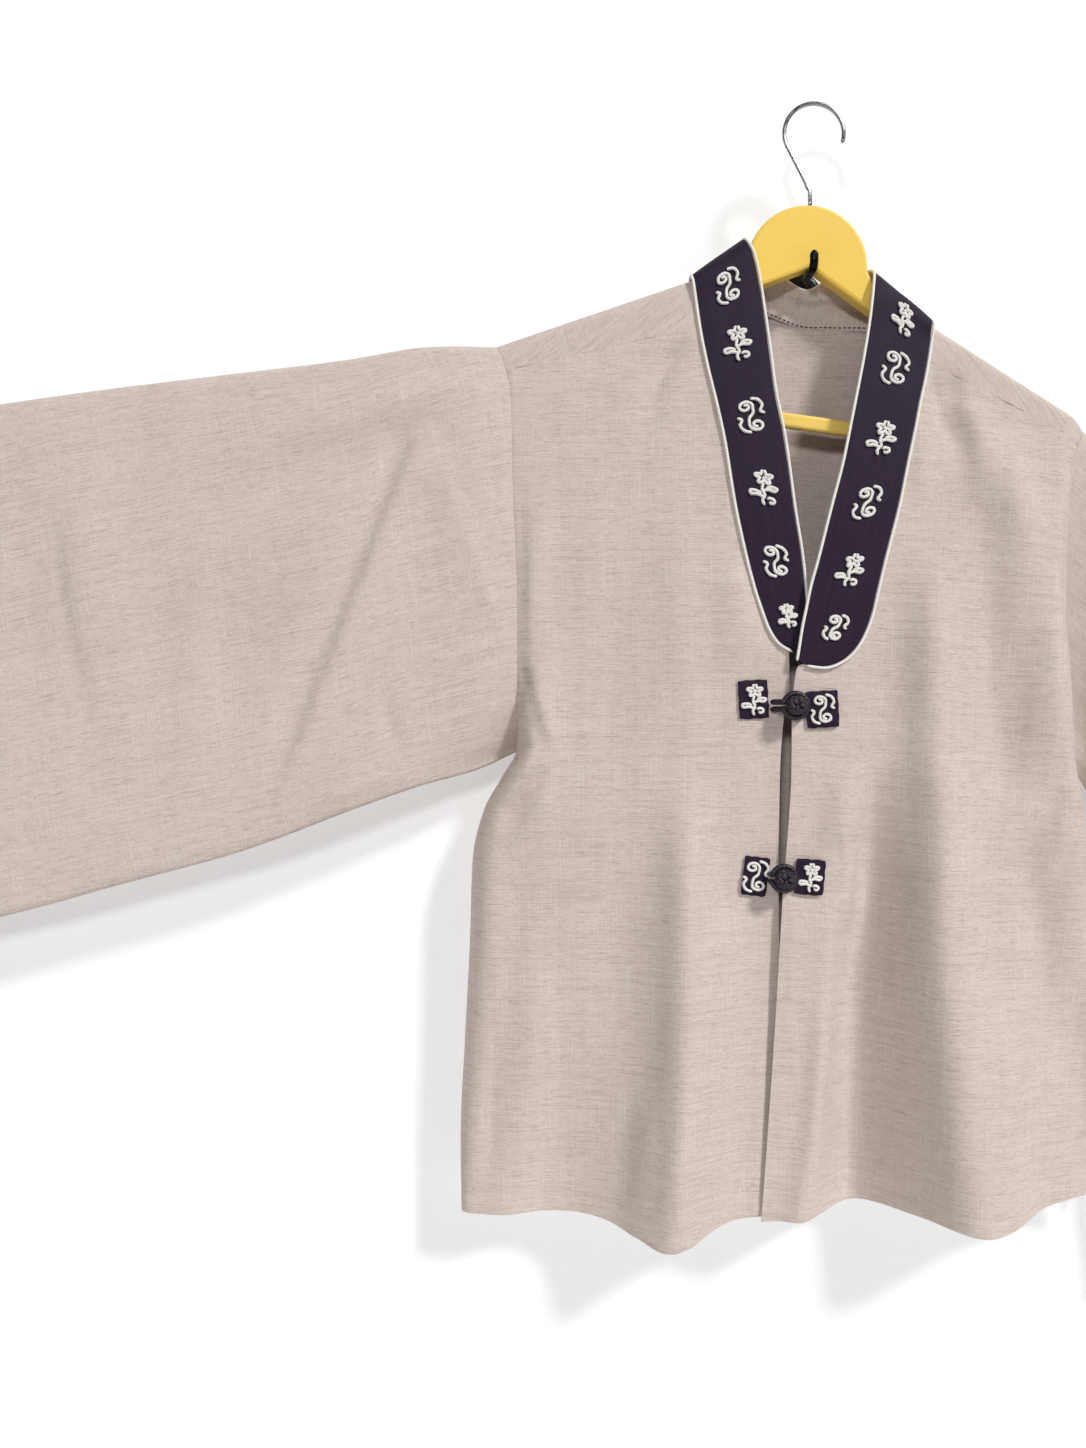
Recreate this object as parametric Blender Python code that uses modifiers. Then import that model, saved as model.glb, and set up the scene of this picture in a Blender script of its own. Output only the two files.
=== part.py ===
"""Kimono jacket of slubbed linen on a painted wooden hanger, which hangs on a wall hook.

The frame: +X to the viewer's right, +Z up, and the wall is the plane y = 0. The jacket hangs in front
of it, towards -Y. The origin is on the wall, at the middle of the wall hook's plate. Left and right in
a name are the wearer's. Sizes below are millimetres; an "off" is a distance off the wall.
"""
import bisect
import math

import bmesh
import bpy
from mathutils import Matrix, Vector

MM = 0.001


def table(names, *rows):
    """A short table of sizes: one list for each named column."""
    return {name: [row[i] for row in rows] for i, name in enumerate(names)}


# Cloth
CLOTH = 1.4
TRIM = 0.25
SEAM_STEP = 0.3
ROLL_STEP = 1.4
BAND_LIFT = 2.0
FACING_CLOTH = 1.0
FACING_DROP = 2.4
FACING_UNDER = 4.4
PIPING_RADIUS = 1.1
PIPING_OUT = 1.7

# Hanger and hooks
TILT = math.radians(7.8)
APEX_Z = 4.1
HANGER_OFF = 45.0
BOARD = 13.0
BOARD_EDGE = 2.4
HEAD_RADIUS = 45.0
HEAD_X = -2.5
HEAD_Z = 1.5
ARM_SLOPE = 0.541
ARM_END = 201.0
ARM_TOP_GAP = 3.6
FOOT_X = 180.0
FOOT_LOW = -122.0
BAR_Z = -114.0
BAR_HIGH = 11.0
BAR_DEEP = 8.0
BAR_EDGE = 2.2
WIRE_RADIUS = 1.6
HOOK_RADIUS = 22.3
HOOK_CENTRE = (4.0, 107.0)
HOOK_FROM = -20.0
HOOK_TO = 208.0
STEM_X = 1.05
STEM_BEND = (-1.2, 68.2)
WALL_BAR_RADIUS = 3.0
WALL_BAR_OUT = 62.0
WALL_BAR_BEND = 7.0
WALL_BAR_TIP = 12.5
PLATE_RADIUS = 21.5
PLATE_THICK = 4.0

# Shoulder ridge beside the hanger's apex: the cloth's fold over each arm, right and left
TIP_OUT = 224.0
RIDGE = table(("neck_out", "neck_up", "tip_up"), (86.0, -21.0, -89.9), (92.3, -29.2, -89.9))
RIDGE_ROUND = 9.0
RIDGE_DROP = 7.0
RIDGE_BLEND = 14.0

# Side seams
SIDE_SEAM_OFF = 34.0
SIDE_ROLL = 18.0
SLIT_TOP = -628.0
SLIT_LOW = -700.0
SLIT_OPEN = 5.0

# Front panels, a row for each section from the shoulder seam down to the hem
FRONT_NAMES = ("row", "inner_x", "inner_z", "outer_x", "outer_z", "wrap")
RIGHT_FRONT = table(
    FRONT_NAMES,
    (0, -79.5, -41.5, -226.0, -74.0, 0.0),
    (1, -73.0, -72.0, -222.9, -105.0, 0.0),
    (2, -66.2, -99.0, -222.1, -150.0, 0.0),
    (3, -60.5, -127.0, -220.5, -190.0, 0.0),
    (4, -53.5, -172.0, -218.8, -235.0, 0.0),
    (5, -46.5, -207.0, -218.4, -275.0, 0.05),
    (6, -39.2, -236.0, -218.5, -312.0, 0.25),
    (7, -30.0, -264.0, -218.6, -340.0, 0.65),
    (8, -19.0, -281.0, -219.5, -357.0, 1.0),
    (9, -18.6, -307.0, -231.0, -378.0, 1.0),
    (10, -23.3, -338.0, -244.0, -402.0, 1.0),
    (11, -25.6, -385.0, -252.5, -440.0, 1.0),
    (12, -26.0, -458.0, -254.5, -500.0, 1.0),
    (13, -23.0, -560.0, -258.5, -578.0, 1.0),
    (14, -20.0, -640.0, -261.5, -645.0, 1.0),
    (15, -18.5, -699.0, -260.5, -702.0, 1.0),
)
LEFT_FRONT = table(
    FRONT_NAMES,
    (0, 82.0, -65.5, 203.5, -129.0, 0.75),
    (1, 77.6, -78.0, 199.0, -148.0, 0.75),
    (2, 72.4, -99.0, 197.0, -168.0, 0.75),
    (3, 66.4, -127.0, 195.5, -195.0, 0.75),
    (4, 57.0, -170.0, 194.0, -225.0, 0.75),
    (5, 47.0, -210.0, 194.0, -258.0, 0.75),
    (6, 37.5, -249.0, 196.0, -295.0, 0.8),
    (7, 28.5, -272.0, 198.0, -330.0, 0.9),
    (8, 16.0, -286.0, 201.0, -368.0, 1.0),
    (9, 1.5, -291.0, 205.0, -388.0, 1.0),
    (10, -13.4, -293.5, 208.5, -410.0, 1.0),
    (11, -17.9, -328.0, 212.0, -440.0, 1.0),
    (12, -18.4, -375.0, 214.5, -475.0, 1.0),
    (13, -24.3, -464.0, 220.0, -530.0, 1.0),
    (14, -29.5, -560.0, 228.0, -595.0, 1.0),
    (15, -34.5, -640.0, 234.0, -645.0, 1.0),
    (16, -38.7, -702.0, 239.0, -690.0, 1.0),
)
UNDERARM_ROW = 8

# Hang of the cloth: how far off the wall it lies at a height below the shoulder ridge
FRONT_DRAPE = table(
    ("below", "off"),
    (0, 54.0), (28, 56.0), (60, 59.0), (110, 62.5), (190, 66.0), (300, 66.0),
    (450, 64.0), (600, 60.0), (740, 56.0),
)
BACK_DRAPE = table(
    ("below", "off"),
    (0, 36.0), (20, 32.0), (50, 25.5), (100, 21.5), (200, 18.0), (400, 15.0), (740, 12.5),
)
SIDE_FALL = 9.0
BODY_HALF = 236.0
CENTRE_TOP = (-14.0, -290.0)
CENTRE_LEAN = 0.0585
LAP_REACH = 55.0
LAP_OVER = 3.6
LAP_UNDER = -2.6

# Largest folds: height is towards the viewer on the fronts and towards the wall on the back
FOLD_NAMES = ("top_x", "top_z", "low_x", "low_z", "width", "height", "drop", "to_hem")
FRONT_FOLDS = table(
    FOLD_NAMES,
    (-94, -44, -128, -150, 15, -5.0, 0, 0),
    (-70, -400, -112, -715, 34, 15.0, 15, 1),
    (-112, -470, -131, -700, 20, -9.0, 0, 1),
    (-190, -440, -205, -700, 42, -14.0, 0, 1),
    (96, -64, 116, -170, 15, -5.5, 0, 0),
    (60, -420, 46, -700, 40, -14.0, 0, 1),
    (105, -380, 122, -700, 30, 11.0, 7, 1),
    (190, -430, 206, -690, 26, -8.0, 0, 1),
)
BACK_FOLDS = table(
    FOLD_NAMES,
    (-150, -120, -165, -700, 40, -5.0, 0, 1),
    (-70, -180, -95, -700, 34, 4.0, 0, 1),
    (10, -150, -5, -700, 30, -6.0, 0, 1),
    (90, -200, 95, -700, 38, 4.5, 0, 1),
    (160, -240, 172, -690, 30, -5.0, 0, 1),
)

# Sleeves, a row for each ring from the armhole to the cuff
SLEEVE_NAMES = ("row", "top_x", "top_z", "low_x", "low_z", "middle", "thick")
RIGHT_SLEEVE = table(
    SLEEVE_NAMES,
    (0, -236.0, -53.0, -219.5, -357.0, 43.0, 24.0),
    (1, -262.0, -54.5, -250.0, -370.5, 49.0, 24.0),
    (2, -290.0, -57.3, -290.0, -381.5, 54.0, 22.0),
    (3, -346.0, -68.0, -337.2, -398.0, 58.0, 20.0),
    (4, -430.0, -79.0, -423.0, -430.0, 60.0, 18.0),
    (5, -514.0, -89.6, -500.0, -451.0, 61.0, 18.0),
    (6, -598.0, -101.6, -580.0, -473.0, 62.0, 18.0),
    (7, -655.0, -110.0, -632.0, -485.5, 62.0, 19.0),
    (8, -700.0, -117.0, -672.0, -494.0, 62.0, 22.0),
)
LEFT_SLEEVE = table(
    SLEEVE_NAMES,
    (0, 208.5, -117.7, 201.0, -368.0, 37.0, 22.0),
    (1, 221.0, -131.0, 213.0, -384.0, 36.0, 28.0),
    (2, 238.0, -158.0, 223.0, -406.0, 36.0, 32.0),
    (3, 264.0, -213.0, 233.0, -448.0, 36.0, 34.0),
    (4, 293.0, -284.0, 241.0, -508.0, 35.0, 34.0),
    (5, 322.0, -358.0, 248.0, -572.0, 35.0, 34.0),
    (6, 351.0, -434.0, 255.0, -637.0, 35.0, 33.0),
    (7, 377.0, -504.0, 262.0, -700.0, 35.0, 33.0),
    (8, 397.0, -559.0, 268.0, -750.0, 35.0, 34.0),
)
RING_POINTS = 28
RING_FLAT = 0.6
ARMHOLE_FADE = 2.6
UNDERARM_HALF = 2.6
RIGHT_SLEEVE_FOLDS = table(
    FOLD_NAMES,
    (-292, -95, -402, -400, 16, 5.0, 0, 0),
    (-280, -110, -372, -400, 15, -5.0, 0, 0),
    (-300, -100, -215, -320, 14, 3.5, 0, 0),
    (-545, -130, -500, -400, 30, 3.0, 0, 0),
)
LEFT_SLEEVE_FOLDS = table(
    FOLD_NAMES,
    (226, -150, 262, -640, 20, 8.0, 0, 0),
    (238, -180, 308, -640, 18, -8.0, 0, 0),
    (262, -230, 352, -640, 20, 6.0, 0, 0),
)

# Collar band: places of its two edges on each front, from the shoulder down to the tip
BAND_NAMES = ("inner_x", "inner_z", "outer_x", "outer_z")
RIGHT_BAND = table(
    BAND_NAMES,
    (-40.5, -4.0, -84.6, -22.0),
    (-36.3, -36.3, -81.6, -45.0),
    (-33.0, -63.0, -76.6, -72.3),
    (-29.9, -89.8, -70.4, -99.3),
    (-23.3, -125.5, -64.7, -127.0),
    (-16.4, -177.8, -57.8, -172.0),
    (-11.0, -211.7, -50.5, -207.0),
    (-8.4, -234.9, -43.0, -236.0),
    (-7.2, -250.0, -37.7, -252.0),
    (-6.8, -262.0, -32.3, -266.0),
    (-7.0, -272.5, -25.5, -276.0),
    (-8.2, -279.5, -15.5, -282.0),
)
LEFT_BAND = table(
    BAND_NAMES,
    (45.4, -22.0, 86.4, -52.0),
    (43.2, -38.0, 84.4, -64.0),
    (38.2, -64.9, 81.4, -79.0),
    (32.5, -91.9, 76.4, -99.2),
    (28.3, -111.4, 72.6, -117.0),
    (21.2, -144.0, 66.6, -143.0),
    (11.9, -178.6, 59.3, -176.0),
    (1.8, -218.5, 49.3, -214.0),
    (-3.1, -236.0, 43.5, -238.0),
    (-6.6, -253.0, 38.6, -258.0),
    (-9.4, -267.0, 31.0, -275.5),
    (-11.3, -279.0, 20.0, -288.0),
    (-12.6, -287.0, 5.0, -293.6),
    (-13.2, -290.6, -8.5, -292.0),
)
# Collar band behind the neck: its free edge and its seam, from the right shoulder to the left one
NECK_NAMES = ("inner_x", "inner_z", "inner_off", "outer_x", "outer_z", "outer_off")
NECK_BAND = table(
    NECK_NAMES,
    (-44.5, 12.0, 56.0, -86.6, -9.0, 58.0),
    (-48.5, 22.5, 52.0, -87.6, -2.4, 53.2),
    (-50.0, 26.5, 45.0, -87.6, -1.0, 45.0),
    (-48.0, 26.0, 38.0, -84.5, -3.2, 37.0),
    (-41.0, 23.0, 33.0, -72.0, -9.0, 32.0),
    (-27.0, 14.0, 29.0, -45.0, -14.5, 26.5),
    (-11.0, -1.5, 30.0, -15.0, -21.5, 22.5),
    (2.0, -7.8, 32.0, 2.0, -25.5, 21.5),
    (14.0, -2.0, 30.0, 20.0, -28.5, 21.5),
    (30.0, 7.5, 29.0, 42.0, -31.5, 24.0),
    (42.5, 7.8, 33.0, 68.5, -35.0, 31.5),
    (47.6, 5.2, 38.0, 84.0, -34.0, 36.8),
    (49.2, 2.6, 45.0, 88.2, -34.2, 45.0),
    (48.6, -2.2, 52.0, 88.4, -35.6, 53.6),
    (47.2, -10.0, 56.0, 87.6, -42.6, 58.4),
)
NECK_SEAM_UNDER = 3.9
RIDGE_ROW = 2

# Fastening tabs: middle and size on a front, and the turn of each in degrees
TABS = table(
    ("name", "side", "x", "z", "wide", "high", "turn"),
    ("tab_right_upper", -1, -45.5, -318.0, 21.6, 28.0, -3.0),
    ("tab_left_upper", 1, 3.6, -325.2, 23.6, 26.4, -3.5),
    ("tab_right_lower", -1, -43.6, -447.5, 18.4, 28.4, 7.0),
    ("tab_left_lower", 1, -5.0, -447.4, 21.4, 25.8, 5.0),
)
KNOT_RADIUS = 7.6
KNOT_DEPTH = 6.6
KNOT_LIFT = 9.6
LOOP_CORD = 2.1
LOOP_RADIUS = 8.7
LOOP_LIFT = 4.9
LOOP_NARROW = 0.30
FASTENINGS = table(
    ("name", "knot_x", "knot_z", "tab_edge_x"),
    ("upper", -16.4, -322.6, -33.9),
    ("lower", -24.3, -448.0, -33.9),
)


def smooth_read(places, values, place):
    """Reads a smooth line through (places, values), which never overshoots them."""
    if place <= places[0]:
        return values[0]
    if place >= places[-1]:
        return values[-1]
    i = bisect.bisect_right(places, place) - 1

    def slope(j):
        steps = []
        for k in (j - 1, j):
            if 0 <= k < len(places) - 1:
                steps.append((values[k + 1] - values[k]) / (places[k + 1] - places[k]))
        if len(steps) == 1:
            return steps[0]
        if steps[0] * steps[1] <= 0.0:
            return 0.0
        return 2.0 * steps[0] * steps[1] / (steps[0] + steps[1])

    run = places[i + 1] - places[i]
    u = (place - places[i]) / run
    return (
        (2 * u ** 3 - 3 * u ** 2 + 1) * values[i]
        + (u ** 3 - 2 * u ** 2 + u) * run * slope(i)
        + (3 * u ** 2 - 2 * u ** 3) * values[i + 1]
        + (u ** 3 - u ** 2) * run * slope(i + 1)
    )


def read(rows, key, name, place):
    """Reads one column of a table at a place along its key column."""
    return smooth_read(rows[key], rows[name], place)


def ease(u):
    """Rises from 0 to 1 with level ends."""
    u = min(1.0, max(0.0, u))
    return u * u * (3.0 - 2.0 * u)


def mix(a, b, u):
    return a + (b - a) * u


def beside_apex(x, z):
    """Takes a place in the hanger's own upright frame to the part's frame."""
    cos, sin = math.cos(TILT), math.sin(TILT)
    return x * cos + z * sin, APEX_Z - x * sin + z * cos


NECK_RIGHT = beside_apex(-RIDGE["neck_out"][0], RIDGE["neck_up"][0])
TIP_RIGHT = beside_apex(-TIP_OUT, RIDGE["tip_up"][0])
NECK_LEFT = beside_apex(RIDGE["neck_out"][1], RIDGE["neck_up"][1])
TIP_LEFT = beside_apex(TIP_OUT, RIDGE["tip_up"][1])


def ridge_z(x):
    """Height of the shoulder ridge, with its two slopes run on smoothly across the neck."""
    lines = []
    for neck, tip in ((NECK_RIGHT, TIP_RIGHT), (NECK_LEFT, TIP_LEFT)):
        lines.append(neck[1] + (tip[1] - neck[1]) * (x - neck[0]) / (tip[0] - neck[0]))
    low, high = min(lines), max(lines)
    return low - RIDGE_BLEND * math.exp((low - high) / RIDGE_BLEND) * 0.5


def fold_sum(folds, x, z, column):
    """Adds up the folds' heights, or their drops, at one place."""
    total = 0.0
    for i, size in enumerate(folds[column]):
        along = (folds["top_z"][i] - z) / (folds["top_z"][i] - folds["low_z"][i])
        if along <= 0.0 or size == 0.0:
            continue
        if folds["to_hem"][i]:
            strength = ease(along)
        else:
            strength = ease(along / 0.3) * ease((1.0 - along) / 0.5)
        middle = mix(folds["top_x"][i], folds["low_x"][i], along)
        width = folds["width"][i] * (0.65 + 0.35 * min(along, 1.0))
        if column == "drop":
            strength = strength ** 6
        total += size * strength * math.exp(-((x - middle) / width) ** 2)
    return total


def lap_edge(z):
    return CENTRE_TOP[0] + (z - CENTRE_TOP[1]) * CENTRE_LEAN


def front_off(x, z, side):
    """How far off the wall a front lies: side is 1 for the wearer's left, which laps over."""
    below = ridge_z(x) - z
    aside = abs(x - lap_edge(z) - 2.0) / BODY_HALF
    fall = SIDE_FALL * ease((below - 40.0) / 200.0)
    near_lap = math.exp(-((x - lap_edge(z)) / LAP_REACH) ** 2)
    lift = (LAP_OVER if side > 0 else LAP_UNDER) * near_lap
    return (
        read(FRONT_DRAPE, "below", "off", below)
        - fall * aside ** 4
        + fold_sum(FRONT_FOLDS, x, z, "height")
        + lift
    )


def back_off(x, z):
    """How far off the wall the back lies."""
    below = max(0.0, ridge_z(x) - z)
    drape = read(BACK_DRAPE, "below", "off", below)
    if below < RIDGE_DROP:
        drape += over_ridge(below)
    return drape - fold_sum(BACK_FOLDS, x, z, "height")


def over_ridge(below):
    """What the round of the ridge adds to either face's distance from it, from the top down."""
    part = 1.0 - min(1.0, below / RIDGE_DROP)
    return RIDGE_ROUND * (1.0 - math.sqrt(max(0.0, 1.0 - part * part)))


def seam_off(front, z):
    """Distance off the wall of one side of a side seam, which opens in the slit."""
    opening = SEAM_STEP + SLIT_OPEN * ease((SLIT_TOP - z) / (SLIT_TOP - SLIT_LOW))
    return SIDE_SEAM_OFF + (opening if front else -opening)


def rolled(x_inner, x_outer, wrap, across):
    """Lays a row's end round the side: across runs 0 to 1 on the flat and 1 to 2 on the roll."""
    span = x_outer - x_inner
    roll = SIDE_ROLL / abs(span)
    start = x_inner + span * (1.0 - roll)
    if across <= 1.0:
        return mix(x_inner, start, across), 0.0, (1.0 - roll) * across
    turn = across - 1.0
    flat = mix(start, x_outer, turn)
    bent = mix(start, x_outer, math.sin(turn * math.pi / 2.0))
    return mix(flat, bent, wrap), wrap * (1.0 - math.cos(turn * math.pi / 2.0)), mix(1.0 - roll, 1.0, turn)


def front_point(rows, side, row, across):
    """A point of a front panel: row is a place down it, and across as in rolled()."""
    x_in = read(rows, "row", "inner_x", row)
    z_in = read(rows, "row", "inner_z", row)
    x_out = read(rows, "row", "outer_x", row) - side * TRIM
    z_out = read(rows, "row", "outer_z", row)
    x, bend, part = rolled(x_in, x_out, read(rows, "row", "wrap", row), across)
    z = mix(z_in, z_out, part)
    off = mix(front_off(x, z, side), seam_off(True, z), bend)
    return x, off, z - fold_sum(FRONT_FOLDS, x, z, "drop")


def side_wrap(rows, z):
    """How far a panel's side is rolled in at one height: 0 is flat, 1 meets the side seam."""
    return smooth_read([-value for value in rows["outer_z"]], rows["wrap"], -z)


def armhole(rows, side, z, tip_z, front):
    """Place of the armhole seam at one height: on the front, or on the back."""
    x = smooth_read([-value for value in rows["outer_z"]], rows["outer_x"], -z)
    wrap = side_wrap(rows, z)
    if z > rows["outer_z"][0]:
        tip_x = (TIP_LEFT if side > 0 else TIP_RIGHT)[0]
        x = mix(rows["outer_x"][0], tip_x, (z - rows["outer_z"][0]) / (tip_z - rows["outer_z"][0]))
    if front:
        seam = front_off(x, z, side)
        off = mix(seam, seam_off(True, z), wrap)
        below = tip_z - z
        if below < RIDGE_DROP:
            off -= over_ridge(below) * mix(1.0, 0.6, wrap)
    else:
        off = mix(back_off(x, z), seam_off(False, z), wrap)
    return x, off


def new_object(name, mesh, material):
    obj = bpy.data.objects.new(name, mesh)
    PART.objects.link(obj)
    mesh.materials.append(material)
    for polygon in mesh.polygons:
        polygon.use_smooth = True
    return obj


def loft(name, grids, material, thick, closed=False):
    """Skins rows of points, in millimetres, and gives the sheet its thickness."""
    mesh = bpy.data.meshes.new(name)
    shell = bmesh.new()
    for grid in grids:
        rows = [[shell.verts.new((x * MM, -off * MM, z * MM)) for x, off, z in row] for row in grid]
        for above, below in zip(rows, rows[1:]):
            count = len(above)
            for i in range(count if closed else count - 1):
                j = (i + 1) % count
                shell.faces.new((above[i], below[i], below[j], above[j]))
    bmesh.ops.remove_doubles(shell, verts=shell.verts, dist=0.00001)
    bmesh.ops.recalc_face_normals(shell, faces=shell.faces)
    shell.to_mesh(mesh)
    shell.free()
    obj = new_object(name, mesh, material)
    wall = obj.modifiers.new("wall", "SOLIDIFY")
    wall.thickness = thick * MM
    wall.offset = 0.0
    return obj


def wire(name, points, radius, material, sides=2):
    """A round cord or bar along points given as (x, off, z)."""
    curve = bpy.data.curves.new(name, "CURVE")
    curve.dimensions = "3D"
    spline = curve.splines.new("POLY")
    spline.points.add(len(points) - 1)
    for point, (x, off, z) in zip(spline.points, points):
        point.co = (x * MM, -off * MM, z * MM, 1.0)
    curve.bevel_depth = radius * MM
    curve.bevel_resolution = sides
    curve.use_fill_caps = True
    curve.materials.append(material)
    obj = bpy.data.objects.new(name, curve)
    PART.objects.link(obj)
    return obj


def finish(name, colour, rough, metal=0.0):
    material = bpy.data.materials.new(name)
    material.use_nodes = True
    shader = material.node_tree.nodes["Principled BSDF"]
    shader.inputs["Base Color"].default_value = (*colour, 1.0)
    shader.inputs["Roughness"].default_value = rough
    shader.inputs["Metallic"].default_value = metal
    return material


for old in list(bpy.data.objects):
    bpy.data.objects.remove(old, do_unlink=True)
PART = bpy.data.collections.new("kimono_jacket")
bpy.context.scene.collection.children.link(PART)

LINEN = finish("linen", (0.62, 0.51, 0.46), 0.85)
SATIN = finish("dark_band", (0.025, 0.012, 0.03), 0.55)
WHITE = finish("piping", (0.80, 0.78, 0.74), 0.6)
PAINT = finish("yellow_paint", (0.90, 0.62, 0.12), 0.45)
STEEL = finish("steel_wire", (0.66, 0.66, 0.67), 0.22, 1.0)
BLACK = finish("black_enamel", (0.006, 0.006, 0.008), 0.2)


# Front panels
def spread(count, rolls):
    """Places across a row: even on the flat, then closer round the roll."""
    return [i / count for i in range(count)] + [1.0 + i / rolls for i in range(rolls + 1)]


def front_panel(name, rows, side):
    last = rows["row"][-1]
    steps = 2 * last
    grid = []
    for i in range(steps + 1):
        row = last * i / steps
        grid.append([front_point(rows, side, row, across) for across in spread(11, 4)])
    loft(name, [grid], LINEN, CLOTH)


front_panel("front_right", RIGHT_FRONT, -1)
front_panel("front_left", LEFT_FRONT, 1)


# Back panel, which folds over the hanger's arms to the shoulder seams
def neck_seam(u):
    """Place of the back's neck edge, just under the collar band: u runs from right to left."""
    keys = list(range(len(NECK_BAND["outer_x"])))
    place = mix(RIDGE_ROW, keys[-1] - RIDGE_ROW, u)
    x = smooth_read(keys, NECK_BAND["outer_x"], place)
    z = smooth_read(keys, NECK_BAND["outer_z"], place) - NECK_SEAM_UNDER
    return min(NECK_LEFT[0], max(NECK_RIGHT[0], x)), z


def back_top(column):
    """Top edge of the back: column runs 0 to 1 on one shoulder, to 2 across the neck, and to 3."""
    if column <= 1.0:
        return tuple(mix(TIP_RIGHT[i], NECK_RIGHT[i], column) for i in range(2))
    if column >= 2.0:
        return tuple(mix(NECK_LEFT[i], TIP_LEFT[i], column - 2.0) for i in range(2))
    u = column - 1.0
    x, z = neck_seam(u)
    ends = ease(min(u, 1.0 - u) * 8.0)
    anchor = NECK_RIGHT if u < 0.5 else NECK_LEFT
    return mix(anchor[0], x, ends), mix(anchor[1], z, ends)


def back_side(rows, tip, down):
    """Side edge of the back: the armhole, then the side seam."""
    heights = [0.0] + [tip[1] - value for value in rows["outer_z"]]
    lefts = [tip[0]] + rows["outer_x"]
    place = down * heights[-1]
    return smooth_read(heights, lefts, place), tip[1] - place, side_wrap(rows, tip[1] - place)


def back_point(down, column):
    """A point of the back, blended from its four edges."""
    t = column / 3.0
    left_x, left_z, left_wrap = back_side(RIGHT_FRONT, TIP_RIGHT, down)
    right_x, right_z, right_wrap = back_side(LEFT_FRONT, TIP_LEFT, down)
    top_x, top_z = back_top(column)
    ends = [(back_side(RIGHT_FRONT, TIP_RIGHT, 1.0)[:2]), (back_side(LEFT_FRONT, TIP_LEFT, 1.0)[:2])]
    low_x = mix(ends[0][0], ends[1][0], t)
    low_z = mix(ends[0][1], ends[1][1], t) - 5.0 * math.sin(math.pi * t)
    x = (mix(top_x, low_x, down) + mix(left_x, right_x, t)
         - mix(mix(TIP_RIGHT[0], TIP_LEFT[0], t), mix(ends[0][0], ends[1][0], t), down))
    z = (mix(top_z, low_z, down) + mix(left_z, right_z, t)
         - mix(mix(TIP_RIGHT[1], TIP_LEFT[1], t), mix(ends[0][1], ends[1][1], t), down))
    off = back_off(x, z)
    for edge_x, edge_z, wrap, side in ((left_x, left_z, left_wrap, -1), (right_x, right_z, right_wrap, 1)):
        near = 1.0 - abs(x - edge_x) / SIDE_ROLL
        if near > 0.0:
            bend = wrap * (1.0 - math.sqrt(max(0.0, 1.0 - near * near)))
            off = mix(off, seam_off(False, edge_z), bend)
            x -= side * TRIM * near
    return x, off, z


DOWN = [0.0, 0.0035, 0.008, 0.013, 0.022, 0.045, 0.08, 0.12] + [0.16 + 0.84 * i / 15 for i in range(16)]


def columns():
    """Places across the back, closer at the armholes and at the corners of the neck."""
    half = [0.0, 0.02, 0.045, 0.09] + [0.09 + 0.91 * i / 5 for i in range(1, 6)] + [1.07, 1.14, 1.22, 1.34]
    return half + [1.5] + [3.0 - u for u in reversed(half)]


def shoulder_flap(rows, tip, neck, places):
    """The strip of the back that folds forward over one shoulder, from the ridge to the seam."""
    side = 1 if tip[0] > 0 else -1
    flat = 1.0 - SIDE_ROLL / abs(rows["outer_x"][0] - rows["inner_x"][0])
    grid = []
    for fall in (0.0, 0.04, 0.11, 0.24, 0.55, 1.0):
        line = []
        for u in places:
            part = 1.0 - u
            across = part / flat if part <= flat else 1.0 + (part - flat) / (1.0 - flat)
            seam = front_point(rows, side, 0.0, across)
            rolled_in = seam[1] - front_off(seam[0], seam[2], side)
            ridge = (mix(tip[0], neck[0], u), mix(tip[1], neck[1], u))
            x = mix(ridge[0], seam[0], fall)
            z = mix(ridge[1], seam[2] + 2.0 * SEAM_STEP, fall)
            below = ridge[1] - z
            off = front_off(x, z, side) + rolled_in
            if below < RIDGE_DROP:
                ridge_off = HANGER_OFF + 0.56 * rolled_in
                off = mix(ridge_off, off, math.sqrt(1.0 - (1.0 - below / RIDGE_DROP) ** 2))
            line.append((x, off, z))
        grid.append(line)
    return grid


def back_panel():
    places = columns()
    main = [[back_point(down, column) for column in places] for down in DOWN]
    shoulders = [u for u in places if u <= 1.0]
    flaps = []
    for rows, tip, neck in ((RIGHT_FRONT, TIP_RIGHT, NECK_RIGHT), (LEFT_FRONT, TIP_LEFT, NECK_LEFT)):
        flaps.append(shoulder_flap(rows, tip, neck, shoulders))
    main[0][:len(shoulders)] = flaps[0][0]
    main[0][-len(shoulders):] = flaps[1][0][::-1]
    loft("back", [main] + flaps, LINEN, CLOTH)


back_panel()


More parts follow.
